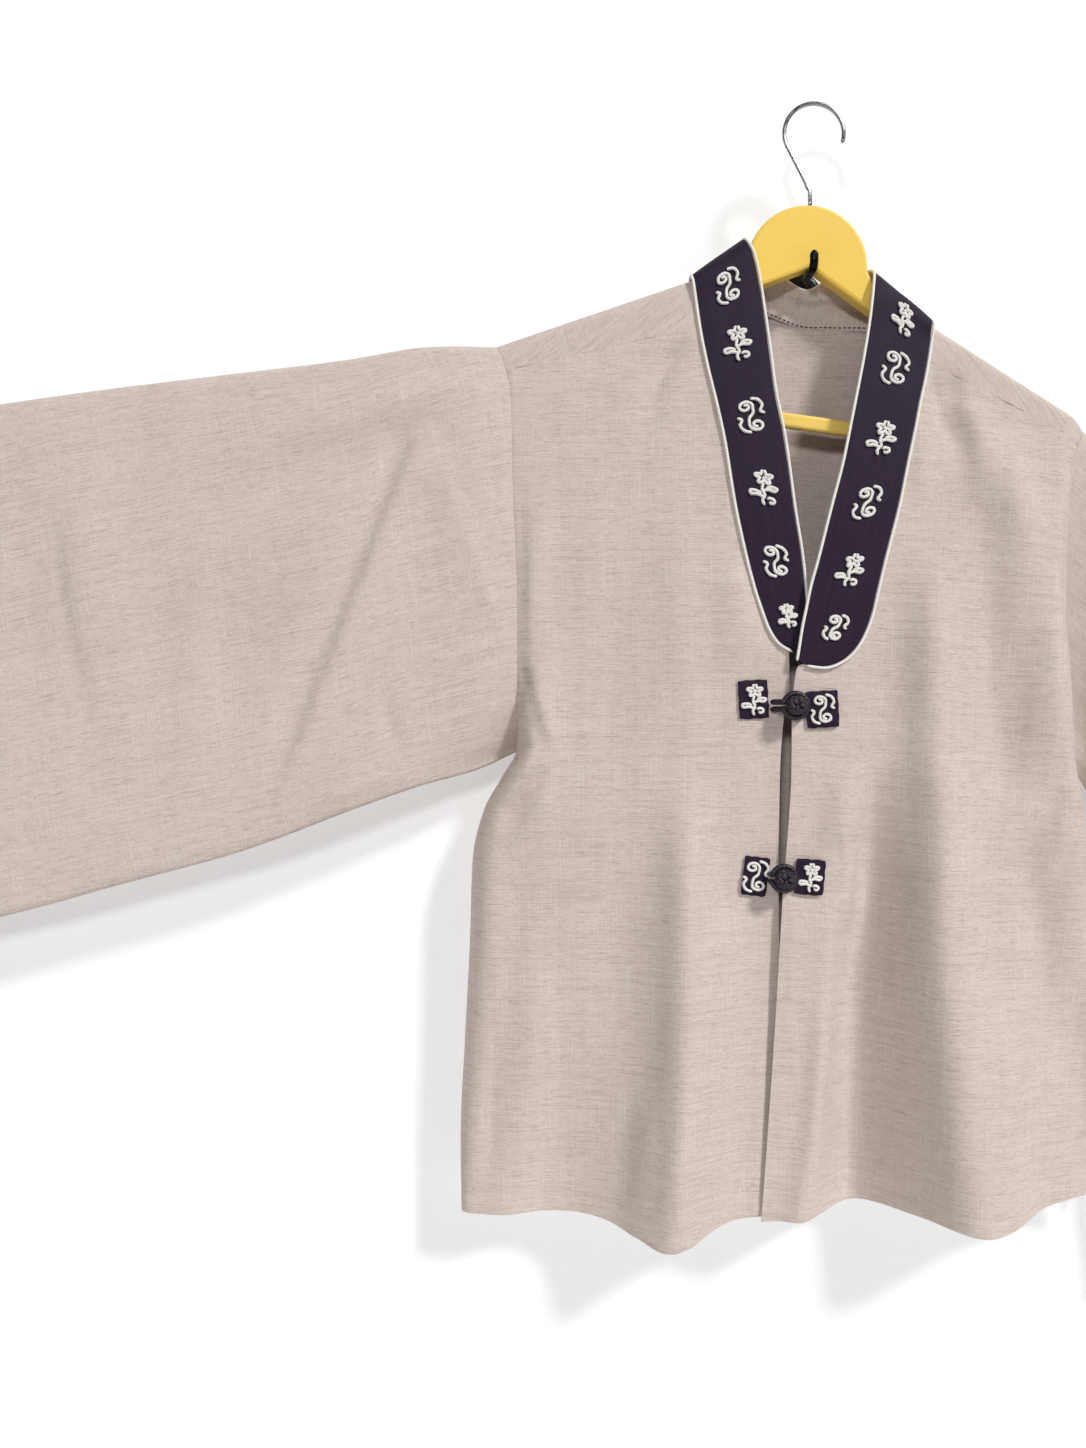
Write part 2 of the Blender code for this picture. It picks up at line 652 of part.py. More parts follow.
# Sleeves
def sleeve(name, rows, body, tip, side, folds):
    low_z = body["outer_z"][UNDERARM_ROW]
    last = rows["row"][-1]

    def lens(row, angle):
        high = 0.5 - 0.5 * math.cos(angle)
        swell = math.copysign(abs(math.sin(angle)) ** RING_FLAT, math.sin(angle))
        x = mix(read(rows, "row", "low_x", row), read(rows, "row", "top_x", row), high)
        z = mix(read(rows, "row", "low_z", row), read(rows, "row", "top_z", row), high)
        off = read(rows, "row", "middle", row) + 0.5 * read(rows, "row", "thick", row) * swell
        return x, off, z

    def seam(angle):
        high = 0.5 - 0.5 * math.cos(angle)
        z = mix(low_z, tip[1], high)
        x, off = armhole(body, side, z, tip[1], math.sin(angle) >= 0.0)
        wrap = side_wrap(body, z)
        if high > 0.999:
            off = mix(HANGER_OFF, SIDE_SEAM_OFF, wrap)
        elif high < 0.001:
            off = SIDE_SEAM_OFF
        else:
            least = UNDERARM_HALF * min(1.0, high * 20.0)
            off = SIDE_SEAM_OFF + math.copysign(max(least, abs(off - SIDE_SEAM_OFF)), math.sin(angle))
        return x + side * (SEAM_STEP + ROLL_STEP * wrap), off, z

    grid = []
    steps = 20
    for i in range(steps + 1):
        row = last * (i / steps) ** 1.25
        hold = 1.0 - ease(row / ARMHOLE_FADE)
        ring = []
        for k in range(RING_POINTS):
            angle = 2.0 * math.pi * k / RING_POINTS
            here, first, start = lens(row, angle), lens(0.0, angle), seam(angle)
            x, off, z = (here[j] + hold * (start[j] - first[j]) for j in range(3))
            off += (1.0 - hold) * max(0.0, math.sin(angle)) * fold_sum(folds, x, z, "height")
            off += (1.0 - hold) * max(0.0, -math.sin(angle)) * 0.6 * fold_sum(folds, x, z, "height")
            ring.append((x, off, z))
        grid.append(ring)
    loft(name, [grid], LINEN, CLOTH, closed=True)


sleeve("sleeve_right", RIGHT_SLEEVE, RIGHT_FRONT, TIP_RIGHT, -1, RIGHT_SLEEVE_FOLDS)
sleeve("sleeve_left", LEFT_SLEEVE, LEFT_FRONT, TIP_LEFT, 1, LEFT_SLEEVE_FOLDS)


# Collar band, its facing behind the neck, and the white piping along both edges
def band_stations():
    """The band's sections from the right tip, round behind the neck, to the left tip."""
    stations = []
    for rows, side in ((RIGHT_BAND, -1), (LEFT_BAND, 1)):
        line = []
        for i in range(len(rows["inner_x"])):
            inner = (rows["inner_x"][i], rows["inner_z"][i])
            outer = (rows["outer_x"][i], rows["outer_z"][i])
            line.append((
                inner[0], front_off(*inner, side) + BAND_LIFT, inner[1],
                outer[0], front_off(*outer, side) + BAND_LIFT, outer[1],
            ))
        stations.append(line)
    neck = []
    for i in range(len(NECK_BAND["inner_x"])):
        neck.append(tuple(NECK_BAND[name][i] for name in (
            "inner_x", "inner_off", "inner_z", "outer_x", "outer_off", "outer_z")))
    return stations[0][::-1] + neck + stations[1]


STATIONS = band_stations()
NECK_FIRST = len(RIGHT_BAND["inner_x"])
NECK_LAST = NECK_FIRST + len(NECK_BAND["inner_x"]) - 1


def along_band():
    """Length along the middle of the band at each section."""
    total, lengths = 0.0, [0.0]
    for one, two in zip(STATIONS, STATIONS[1:]):
        gap = [(two[j] + two[j + 3] - one[j] - one[j + 3]) / 2.0 for j in range(3)]
        total += math.sqrt(sum(g * g for g in gap))
        lengths.append(total)
    return lengths


BAND_LENGTHS = along_band()


def band_section(length):
    return [smooth_read(BAND_LENGTHS, [s[j] for s in STATIONS], length) for j in range(6)]


def band_point(length, across, drop=0.0):
    """A point of the band: across runs 0 to 1 from the free edge, drop moves it to the inside."""
    section = band_section(length)
    near = band_section(max(0.0, length - 2.0))
    far = band_section(min(BAND_LENGTHS[-1], length + 2.0))
    inner, outer = Vector(section[:3]), Vector(section[3:])
    run = (Vector(far[:3]) + Vector(far[3:]) - Vector(near[:3]) - Vector(near[3:])).normalized()
    inward = run.cross(outer - inner).normalized()
    return tuple(inner.lerp(outer, across) + inward * drop)


def band_places():
    """Lengths along the band that its mesh, the facing and the piping share, closer at the tips."""
    total = BAND_LENGTHS[-1]
    ends = (0.0, 4.0, 9.0, 16.0)
    middle = [mix(25.0, total - 25.0, i / 50) for i in range(51)]
    return list(ends) + middle + [total - d for d in reversed(ends)]


def beside_edge(places, outside):
    """Line of the piping, square off one edge of the band."""
    edge = []
    for length in places:
        section = band_section(length)
        inner, outer = Vector(section[:3]), Vector(section[3:])
        edge.append((outer, outer - inner) if outside else (inner, inner - outer))
    line = []
    for i, (spot, out) in enumerate(edge):
        run = edge[min(i + 1, len(edge) - 1)][0] - edge[max(i - 1, 0)][0]
        run.normalize()
        square = (out - run * out.dot(run)).normalized()
        spot = spot + square * PIPING_OUT
        if not line or (spot - line[-1]).length > 1.5 * PIPING_RADIUS:
            line.append(spot)
    return line


def collar():
    places = band_places()
    grid = [[band_point(length, i / 4) for i in range(5)] for length in places]
    loft("collar_band", [grid], SATIN, CLOTH)
    start, end = BAND_LENGTHS[NECK_FIRST], BAND_LENGTHS[NECK_LAST]
    grid = []
    for length in places:
        if not start <= length <= end:
            continue
        section = band_section(length)
        wide = (Vector(section[3:]) - Vector(section[:3])).length
        behind = ease(1.6 * math.sin(math.pi * (length - start) / (end - start)) - 0.35)
        low = mix(0.8, 1.0 + FACING_UNDER / wide, behind)
        grid.append([band_point(length, mix(0.03, low, i / 5), FACING_DROP) for i in range(6)])
    loft("collar_facing", [grid], LINEN, FACING_CLOTH)
    for name, outside in (("piping_inner", False), ("piping_outer", True)):
        wire(name, beside_edge(places, outside), PIPING_RADIUS, WHITE, 1)


collar()


# Fastenings: four tabs, two knots and the loops that hold them
def tab(name, side, x, z, wide, high, turn):
    cos, sin = math.cos(math.radians(turn)), math.sin(math.radians(turn))
    grid = []
    for i in range(5):
        line = []
        for j in range(5):
            right, up = wide * (j / 4 - 0.5), high * (0.5 - i / 4)
            px, pz = x + right * cos + up * sin, z - right * sin + up * cos
            line.append((px, front_off(px, pz, side) + BAND_LIFT, pz))
        grid.append(line)
    loft(name, [grid], SATIN, CLOTH)


for i in range(len(TABS["name"])):
    tab(*(column[i] for column in TABS.values()))


def fastening(name, knot_x, knot_z, tab_edge):
    base = front_off(lap_edge(knot_z), knot_z, 1)
    bpy.ops.mesh.primitive_uv_sphere_add(
        segments=16, ring_count=10, radius=KNOT_RADIUS * MM,
        location=(knot_x * MM, -(base + KNOT_LIFT) * MM, knot_z * MM),
    )
    knot = bpy.context.object
    knot.name = "knot_" + name
    knot.data.transform(Matrix.Diagonal((1.0, KNOT_DEPTH / KNOT_RADIUS, 1.0, 1.0)))
    knot.data.materials.append(SATIN)
    for holder in list(knot.users_collection):
        holder.objects.unlink(knot)
    PART.objects.link(knot)
    first = math.pi - math.asin(LOOP_NARROW)
    tab_top = front_off(tab_edge, knot_z, -1) + CLOTH / 2.0 + LOOP_CORD + 0.4
    end_x = knot_x + LOOP_RADIUS * math.cos(first)
    rise = LOOP_RADIUS * math.sin(first)

    def strand(up):
        """One of the loop's two cords, from the tab's edge to the round."""
        return [
            (mix(tab_edge + 0.4, end_x, u), mix(tab_top, base + LOOP_LIFT, ease(u)), knot_z + up * rise)
            for u in (0.0, 1.0 / 3.0, 2.0 / 3.0)
        ]

    line = strand(1.0)
    for i in range(15):
        angle = first * (1.0 - 2.0 * i / 14)
        line.append((knot_x + LOOP_RADIUS * math.cos(angle), base + LOOP_LIFT,
                     knot_z + LOOP_RADIUS * math.sin(angle)))
    line += strand(-1.0)[::-1]
    wire("loop_" + name, line, LOOP_CORD, SATIN, 1)


for i in range(len(FASTENINGS["name"])):
    fastening(*(column[i] for column in FASTENINGS.values()))


# Hanger: a board sawn to shape, a slat between its feet, and a steel hook
def arc(centre, radius, start, end, count):
    """Points on an arc, with its angles in degrees."""
    points = []
    for i in range(count + 1):
        angle = math.radians(mix(start, end, i / count))
        points.append((centre[0] + radius * math.cos(angle), centre[1] + radius * math.sin(angle)))
    return points


def arm_outline(arm):
    """One arm's outline from the apex to the head: arm is 0 for the wearer's right, 1 for the left."""
    neck_out, neck_up = RIDGE["neck_out"][arm], RIDGE["neck_up"][arm]
    slope = (RIDGE["tip_up"][arm] - neck_up) / (TIP_OUT - neck_out)

    def top(x):
        return neck_up - ARM_TOP_GAP + slope * (x - neck_out)

    line = [(0.0, 0.0), (90.0, -90.0 * ARM_SLOPE), (FOOT_X - 12.0, -(FOOT_X - 12.0) * ARM_SLOPE)]
    line += [(FOOT_X - 3.0, -(FOOT_X - 6.0) * ARM_SLOPE), (FOOT_X, -FOOT_X * ARM_SLOPE - 3.0)]
    line += [(FOOT_X, FOOT_LOW + 3.0), (FOOT_X + 3.0, FOOT_LOW), (FOOT_X + 12.0, FOOT_LOW + 1.5)]
    line += [(ARM_END - 4.0, FOOT_LOW + 8.0), (ARM_END, FOOT_LOW + 20.0)]
    line += [(ARM_END - 1.0, top(ARM_END) - 5.0), (ARM_END - 6.0, top(ARM_END - 6.0))]
    return line + [(x, top(x)) for x in (160.0, 110.0, 70.0)] + [(54.0, top(54.0) + 0.6)]


def hanger_outline():
    """The board's outline in its own upright frame, from the apex under the head."""
    left_arm = [(-x, z) for x, z in reversed(arm_outline(0)[1:])]
    return arm_outline(1) + arc((HEAD_X, HEAD_Z), HEAD_RADIUS, 3.0, 177.0, 22) + left_arm


def hanger():
    curve = bpy.data.curves.new("hanger_outline", "CURVE")
    curve.dimensions = "2D"
    curve.fill_mode = "BOTH"
    curve.extrude = BOARD * MM / 2.0
    spline = curve.splines.new("POLY")
    outline = hanger_outline()
    spline.points.add(len(outline) - 1)
    for point, (x, z) in zip(spline.points, outline):
        part_x, part_z = beside_apex(x, z)
        point.co = (part_x * MM, part_z * MM, 0.0, 1.0)
    spline.use_cyclic_u = True
    flat = bpy.data.objects.new("hanger_outline", curve)
    PART.objects.link(flat)
    flat.rotation_euler = (math.pi / 2.0, 0.0, 0.0)
    flat.location = (0.0, -HANGER_OFF * MM, 0.0)
    bpy.context.view_layer.update()
    mesh = bpy.data.meshes.new_from_object(flat.evaluated_get(bpy.context.evaluated_depsgraph_get()))
    mesh.transform(flat.matrix_world)
    board = bmesh.new()
    board.from_mesh(mesh)
    bmesh.ops.remove_doubles(board, verts=board.verts, dist=0.00001)
    bmesh.ops.dissolve_limit(board, angle_limit=0.001, verts=board.verts, edges=board.edges)
    bmesh.ops.recalc_face_normals(board, faces=board.faces)
    board.to_mesh(mesh)
    board.free()
    mesh.materials.clear()
    bpy.data.objects.remove(flat, do_unlink=True)
    obj = new_object("hanger_board", mesh, PAINT)
    edge = obj.modifiers.new("edge", "BEVEL")
    edge.width = BOARD_EDGE * MM
    edge.segments = 2
    edge.limit_method = "ANGLE"
    edge.angle_limit = math.radians(50.0)


hanger()


def hanger_bar():
    """The slat between the hanger's feet, with its edges rounded."""
    x, z = beside_apex(0.0, BAR_Z)
    bpy.ops.mesh.primitive_cube_add(
        size=MM, location=(x * MM, -HANGER_OFF * MM, z * MM), rotation=(0.0, TILT, 0.0))
    bar = bpy.context.object
    bar.name = "hanger_bar"
    bar.data.transform(Matrix.Diagonal((2.0 * (FOOT_X - 0.3), BAR_DEEP, BAR_HIGH, 1.0)))
    bar.data.materials.append(PAINT)
    for holder in list(bar.users_collection):
        holder.objects.unlink(bar)
    PART.objects.link(bar)
    edge = bar.modifiers.new("edge", "BEVEL")
    edge.width = BAR_EDGE * MM
    edge.segments = 3


hanger_bar()


def steel_hook():
    """Wire hook: a short stem, a slant to the left, and an open round on top."""
    loop = arc(HOOK_CENTRE, HOOK_RADIUS, HOOK_FROM, HOOK_TO, 26)
    head = beside_apex(HEAD_X, HEAD_Z)
    head_top = head[1] + math.sqrt(HEAD_RADIUS ** 2 - (STEM_X - head[0]) ** 2) + SEAM_STEP
    slant = [(mix(loop[-1][0], STEM_BEND[0], u), mix(loop[-1][1], STEM_BEND[1], u)) for u in (0.5, 1.0)]
    stem = [(STEM_X - 0.15, STEM_BEND[1] - 4.2), (STEM_X, STEM_BEND[1] - 8.2), (STEM_X, head_top)]
    points = loop + slant + stem
    wire("hanger_hook", [(x, HANGER_OFF, z) for x, z in points], WIRE_RADIUS, STEEL)


steel_hook()


# Wall hook: a round plate on the wall, and a bar that comes out under the hanger and turns up
def wall_hook():
    bpy.ops.mesh.primitive_cylinder_add(
        vertices=40, radius=PLATE_RADIUS * MM, depth=PLATE_THICK * MM,
        location=(0.0, -PLATE_THICK * MM / 2.0, 0.0), rotation=(math.pi / 2.0, 0.0, 0.0),
    )
    plate = bpy.context.object
    plate.name = "wall_plate"
    plate.data.materials.append(BLACK)
    for holder in list(plate.users_collection):
        holder.objects.unlink(plate)
    PART.objects.link(plate)
    points = [(0.0, PLATE_THICK + 0.3, 0.0), (0.0, 30.0, 0.0)]
    for off, z in arc((WALL_BAR_OUT - WALL_BAR_BEND, WALL_BAR_BEND), WALL_BAR_BEND, -90.0, 0.0, 6):
        points.append((0.0, off, z))
    points.append((0.0, WALL_BAR_OUT, WALL_BAR_TIP))
    wire("wall_bar", points, WALL_BAR_RADIUS, BLACK, 3)


wall_hook()
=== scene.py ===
"""Looks of a kimono jacket in slubbed linen, on a painted hanger that hangs on a black wall hook.

The frame: +X to the viewer's right, +Z up, and the wall is the plane y = 0. The origin is on the wall, at
the middle of the wall hook's plate. Left and right in a name are the wearer's. Sizes are millimetres unless
they say otherwise; an "off" is a distance off the wall, so a point (x, off, z) lies at y = -off.
"""
import math

import bmesh
import bpy
import numpy as np
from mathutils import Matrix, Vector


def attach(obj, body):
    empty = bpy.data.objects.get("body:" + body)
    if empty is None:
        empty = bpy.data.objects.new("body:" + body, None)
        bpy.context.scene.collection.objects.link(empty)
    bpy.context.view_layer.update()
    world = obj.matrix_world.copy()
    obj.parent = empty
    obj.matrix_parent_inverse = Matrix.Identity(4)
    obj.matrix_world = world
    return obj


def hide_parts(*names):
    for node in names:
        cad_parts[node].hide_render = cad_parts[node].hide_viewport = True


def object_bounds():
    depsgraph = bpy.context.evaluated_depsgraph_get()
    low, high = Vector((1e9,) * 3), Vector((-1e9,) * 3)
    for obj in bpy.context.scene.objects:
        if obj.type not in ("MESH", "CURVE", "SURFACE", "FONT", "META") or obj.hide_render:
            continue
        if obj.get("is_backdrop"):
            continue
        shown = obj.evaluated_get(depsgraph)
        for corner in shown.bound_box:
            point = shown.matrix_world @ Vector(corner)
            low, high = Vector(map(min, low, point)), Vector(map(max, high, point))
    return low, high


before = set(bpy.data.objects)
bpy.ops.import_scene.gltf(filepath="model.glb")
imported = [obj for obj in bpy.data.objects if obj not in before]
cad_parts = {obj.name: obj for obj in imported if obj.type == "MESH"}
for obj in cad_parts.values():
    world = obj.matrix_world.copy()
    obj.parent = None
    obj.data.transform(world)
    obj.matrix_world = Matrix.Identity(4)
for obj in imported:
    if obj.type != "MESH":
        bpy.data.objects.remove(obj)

cad_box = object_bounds()


# Camera: level and square to the wall, at chest height, a little to the left of the jacket. The picture is
# upright, so the lens is worked out from its height: 1100 of its 1448 pixels make a tangent of one.
PICTURE_HEIGHT = 1448
PIXELS_FOR_ONE = 1100

lens = bpy.data.cameras.new("view")
lens.sensor_fit = "VERTICAL"
lens.sensor_height = 36.0
lens.lens = lens.sensor_height * PIXELS_FOR_ONE / PICTURE_HEIGHT
camera = bpy.data.objects.new("view", lens)
bpy.context.scene.collection.objects.link(camera)
camera.location = (-0.1992, -0.870, -0.3360)
camera.rotation_euler = (math.pi / 2.0, 0.0, 0.0)
bpy.context.scene.camera = camera


# Front panels: two lengths of slubbed linen that fall from the shoulder seams and lap at the middle, the
# wearer's left over the right. Each edge is sewn to the armhole, the side seam or the collar band, and the
# hem is turned up once and stitched. The tables give a panel's two edges row by row, and its larger folds.
MM = 0.001
CLOTH = 0.95
TRIM = 0.25
TILT = math.radians(7.8)
APEX_Z = 4.1
TIP_OUT = 224.0
RIDGE_BLEND = 14.0
SEAM_STEP = 0.3
SIDE_SEAM_OFF = 34.0
SIDE_ROLL = 18.0
SLIT_TOP = -628.0
SLIT_LOW = -700.0
SLIT_OPEN = 5.0
SIDE_FALL = 9.0
BODY_HALF = 236.0
CENTRE_TOP = (-14.0, -290.0)
CENTRE_LEAN = 0.0585
LAP_REACH = 55.0
LAP_OVER = 3.6
LAP_UNDER = -2.6
HEM_TURN = 12.5
HEM_STITCH = 1.6
HEM_THICK = 0.55
HEM_DRAWN = 0.35
TABS_X = -25.0
TABS_Z = (-322.6, -448.0)
TABS_HALF_WIDE = 40.0
TABS_HALF_HIGH = 15.0
FRONT_ROWS = 232
FRONT_COLUMNS = 76
ROLL_COLUMNS = 12


def table(names, *rows):
    """A short table of sizes: one array for each named column."""
    return {name: np.array([row[i] for row in rows]) for i, name in enumerate(names)}


RIDGE = table(("neck_out", "neck_up", "tip_up"), (86.0, -21.0, -89.9), (92.3, -29.2, -89.9))
PANEL_NAMES = ("row", "inner_x", "inner_z", "outer_x", "outer_z", "wrap")
RIGHT_FRONT = table(
    PANEL_NAMES,
    (0, -79.5, -41.5, -226.0, -74.0, 0.0),
    (1, -73.0, -72.0, -222.9, -105.0, 0.0),
    (2, -66.2, -99.0, -222.1, -150.0, 0.0),
    (3, -60.5, -127.0, -220.5, -190.0, 0.0),
    (4, -53.5, -172.0, -218.8, -235.0, 0.0),
    (5, -46.5, -207.0, -218.4, -275.0, 0.05),
    (6, -39.2, -236.0, -218.5, -312.0, 0.25),
    (7, -30.0, -264.0, -218.6, -340.0, 0.65),
    (8, -19.0, -281.0, -219.5, -357.0, 1.0),
    (9, -18.6, -307.0, -231.0, -378.0, 1.0),
    (10, -23.3, -338.0, -244.0, -402.0, 1.0),
    (11, -25.6, -385.0, -252.5, -440.0, 1.0),
    (12, -26.0, -458.0, -254.5, -500.0, 1.0),
    (13, -23.0, -560.0, -258.5, -578.0, 1.0),
    (14, -20.0, -640.0, -261.5, -645.0, 1.0),
    (15, -18.5, -699.0, -260.5, -702.0, 1.0),
)
LEFT_FRONT = table(
    PANEL_NAMES,
    (0, 82.0, -65.5, 203.5, -129.0, 0.75),
    (1, 77.6, -78.0, 199.0, -148.0, 0.75),
    (2, 72.4, -99.0, 197.0, -168.0, 0.75),
    (3, 66.4, -127.0, 195.5, -195.0, 0.75),
    (4, 57.0, -170.0, 194.0, -225.0, 0.75),
    (5, 47.0, -210.0, 194.0, -258.0, 0.75),
    (6, 37.5, -249.0, 196.0, -295.0, 0.8),
    (7, 28.5, -272.0, 198.0, -330.0, 0.9),
    (8, 16.0, -286.0, 201.0, -368.0, 1.0),
    (9, 1.5, -291.0, 205.0, -388.0, 1.0),
    (10, -13.4, -293.5, 208.5, -410.0, 1.0),
    (11, -17.9, -328.0, 212.0, -440.0, 1.0),
    (12, -18.4, -375.0, 214.5, -475.0, 1.0),
    (13, -24.3, -464.0, 220.0, -530.0, 1.0),
    (14, -29.5, -560.0, 228.0, -595.0, 1.0),
    (15, -34.5, -640.0, 234.0, -645.0, 1.0),
    (16, -38.7, -702.0, 239.0, -690.0, 1.0),
)
FRONT_DRAPE = table(
    ("below", "off"),
    (0, 54.0), (28, 56.0), (60, 59.0), (110, 62.5), (190, 66.0), (300, 66.0),
    (450, 64.0), (600, 60.0), (740, 56.0),
)
FOLD_NAMES = ("top_x", "top_z", "low_x", "low_z", "width", "height", "drop", "to_hem")
FRONT_FOLDS = table(
    FOLD_NAMES,
    (-94, -44, -128, -150, 15, -5.0, 0, 0),
    (-70, -400, -112, -715, 34, 15.0, 15, 1),
    (-112, -470, -131, -700, 20, -9.0, 0, 1),
    (-190, -440, -205, -700, 42, -14.0, 0, 1),
    (96, -64, 116, -170, 15, -5.5, 0, 0),
    (60, -420, 46, -700, 40, -14.0, 0, 1),
    (105, -380, 122, -700, 30, 11.0, 7, 1),
    (190, -430, 206, -690, 26, -8.0, 0, 1),
)
WAVE_NAMES = ("height", "length", "stretch")
FRONT_WAVES = table(WAVE_NAMES, (0.34, 46.0, 2.6), (0.13, 15.0, 1.3))
# Creases: a line from its upper end to its lower one that bows to the viewer's left by "bow". Width and
# height are those of its middle, "starts" and "ends" are the shares of its length over which it comes and
# goes, and "lean" makes its right flank that many times as wide as its left one. One whose "ends" is under
# OFF_THE_EDGE doesn't die away: it runs off the hem or the cuff.
OFF_THE_EDGE = 0.15
PAST_THE_EDGE = 1.08
CREASE_NAMES = ("from_x", "from_z", "to_x", "to_z", "bow", "width", "height", "starts", "ends", "lean")
RIGHT_FRONT_CREASES = table(
    CREASE_NAMES,
    (-96, -48, -128, -116, 2, 6.5, -2.6, 0.3, 0.5, 1.0),
    (-90, -58, -122, -150, 6, 12.0, 4.5, 0.3, 0.6, 1.0),
    (-103, -150, -94, -380, -2, 20.0, 3.4, 0.4, 0.4, 1.0),
    (-143, -180, -148, -400, 1, 17.0, -1.4, 0.4, 0.4, 1.0),
    (-66, -200, -63, -310, -6, 19.0, 4.5, 0.4, 0.4, 1.0),
    (-194, -260, -206, -430, 6, 21.0, 7.5, 0.4, 0.4, 1.0),
    (-95, -360, -111, -702, -5, 22.0, 15.0, 0.3, 0.02, 1.0),
    (-62, -400, -76, -702, -4, 19.0, 6.0, 0.4, 0.02, 1.0),
    (-150, -400, -167, -702, -5, 20.0, -4.0, 0.4, 0.02, 1.0),
    (-123, -430, -140, -702, -6, 10.0, 1.6, 0.4, 0.02, 1.0),
    (-197, -150, -207, -300, 4, 13.0, 3.2, 0.4, 0.4, 1.0),
    (-220, -287, -197, -368, -3, 6.0, -4.4, 0.25, 0.3, 1.0),
    (-216, -300, -188, -372, -2, 9.0, 3.4, 0.3, 0.4, 1.0),
    (-196, -360, -240, -412, -6, 9.0, -3.4, 0.3, 0.35, 1.0),
    (-192, -378, -232, -434, -5, 8.0, 2.0, 0.3, 0.4, 1.0),
    (-214, -410, -226, -560, 3, 11.0, -1.6, 0.4, 0.6, 1.0),
    (-202, -470, -224, -702, -5, 18.0, 6.0, 0.4, 0.02, 1.0),
    (-36, -470, -42, -702, 0, 12.0, 3.0, 0.4, 0.02, 1.0),
    (-90, -560, -95, -702, 6, 11.0, 2.4, 0.6, 0.02, 1.0),
    (-116, -590, -130, -702, 2, 9.0, 4.0, 0.5, 0.02, 1.0),
    (-238, -560, -246, -702, -4, 9.0, -1.8, 0.5, 0.02, 1.0),
)
LEFT_FRONT_CREASES = table(
    CREASE_NAMES,
    (91, -72, 100, -134, 3, 7.0, -4.0, 0.3, 0.5, 1.0),
    (103, -82, 130, -196, -5, 15.0, 6.5, 0.3, 0.5, 1.0),
    (80, -96, 83, -190, 7, 11.0, 2.8, 0.4, 0.5, 1.0),
    (142, -110, 158, -260, 1, 20.0, 9.5, 0.4, 0.5, 1.0),
    (90, -190, 90, -430, 6, 20.0, 12.0, 0.4, 0.3, 1.0),
    (126, -200, 145, -420, 2, 16.0, -8.5, 0.4, 0.4, 1.0),
    (130, -240, 137, -380, -3, 11.0, 2.6, 0.4, 0.4, 1.0),
    (171, -215, 179, -390, 0, 18.0, 6.5, 0.4, 0.4, 1.0),
    (189, -150, 185, -330, -1, 9.0, -3.4, 0.3, 0.4, 1.0),
    (194, -372, 174, -440, 1, 9.0, 4.0, 0.2, 0.5, 1.0),
    (202, -392, 178, -470, 3, 6.0, -2.0, 0.2, 0.5, 1.0),
    (88, -340, 104, -702, 6, 25.0, 23.0, 0.3, 0.02, 1.3),
    (44, -350, 36, -702, 6, 21.0, -17.0, 0.3, 0.02, 1.0),
    (150, -400, 194, -640, -3, 21.0, -8.5, 0.3, 0.4, 1.0),
    (144, -520, 148, -702, 6, 18.0, 9.0, 0.4, 0.02, 1.0),
    (72, -410, 62, -600, -6, 17.0, 3.0, 0.4, 0.4, 1.0),
    (70, -560, 70, -702, 1, 8.0, 2.0, 0.4, 0.02, 1.0),
    (208, -420, 221, -692, 8, 16.0, -5.5, 0.4, 0.02, 1.0),
    (30, -350, 14, -540, 3, 17.0, 9.0, 0.4, 0.5, 1.0),
    (6, -480, -10, -702, -7, 10.0, 8.0, 0.5, 0.02, 1.0),
    (-12, -400, -22, -600, 4, 6.0, 1.8, 0.4, 0.4, 1.0),
)


def smooth_read(places, values, place):
    """Reads a smooth line through (places, values), which never overshoots them."""
    places, values = np.asarray(places, float), np.asarray(values, float)
    steps = np.diff(values) / np.diff(places)
    inner = np.zeros(len(places) - 2)
    turns = steps[:-1] * steps[1:] > 0.0
    inner[turns] = 2.0 * steps[:-1][turns] * steps[1:][turns] / (steps[:-1] + steps[1:])[turns]
    slopes = np.concatenate((steps[:1], inner, steps[-1:]))
    place = np.clip(place, places[0], places[-1])
    i = np.clip(np.searchsorted(places, place, side="right") - 1, 0, len(places) - 2)
    run = places[i + 1] - places[i]
    u = (place - places[i]) / run
    return (
        (2 * u ** 3 - 3 * u ** 2 + 1) * values[i]
        + (u ** 3 - 2 * u ** 2 + u) * run * slopes[i]
        + (3 * u ** 2 - 2 * u ** 3) * values[i + 1]
        + (u ** 3 - u ** 2) * run * slopes[i + 1]
    )


def read(rows, key, name, place):
    return smooth_read(rows[key], rows[name], place)


def ease(u):
    """Rises from 0 to 1 with level ends."""
    u = np.clip(u, 0.0, 1.0)
    return u * u * (3.0 - 2.0 * u)


def mix(a, b, u):
    return a + (b - a) * u


def beside_apex(x, z):
    """Takes a place in the hanger's own upright frame to the jacket's frame."""
    cos, sin = math.cos(TILT), math.sin(TILT)
    return x * cos + z * sin, APEX_Z - x * sin + z * cos


NECK_RIGHT = beside_apex(-RIDGE["neck_out"][0], RIDGE["neck_up"][0])
TIP_RIGHT = beside_apex(-TIP_OUT, RIDGE["tip_up"][0])
NECK_LEFT = beside_apex(RIDGE["neck_out"][1], RIDGE["neck_up"][1])
TIP_LEFT = beside_apex(TIP_OUT, RIDGE["tip_up"][1])


def ridge_z(x):
    """Height of the shoulder ridge, with its two slopes run on smoothly across the neck."""
    lines = []
    for neck, tip in ((NECK_RIGHT, TIP_RIGHT), (NECK_LEFT, TIP_LEFT)):
        lines.append(neck[1] + (tip[1] - neck[1]) * (x - neck[0]) / (tip[0] - neck[0]))
    low, high = np.minimum(*lines), np.maximum(*lines)
    return low - RIDGE_BLEND * np.exp((low - high) / RIDGE_BLEND) * 0.5


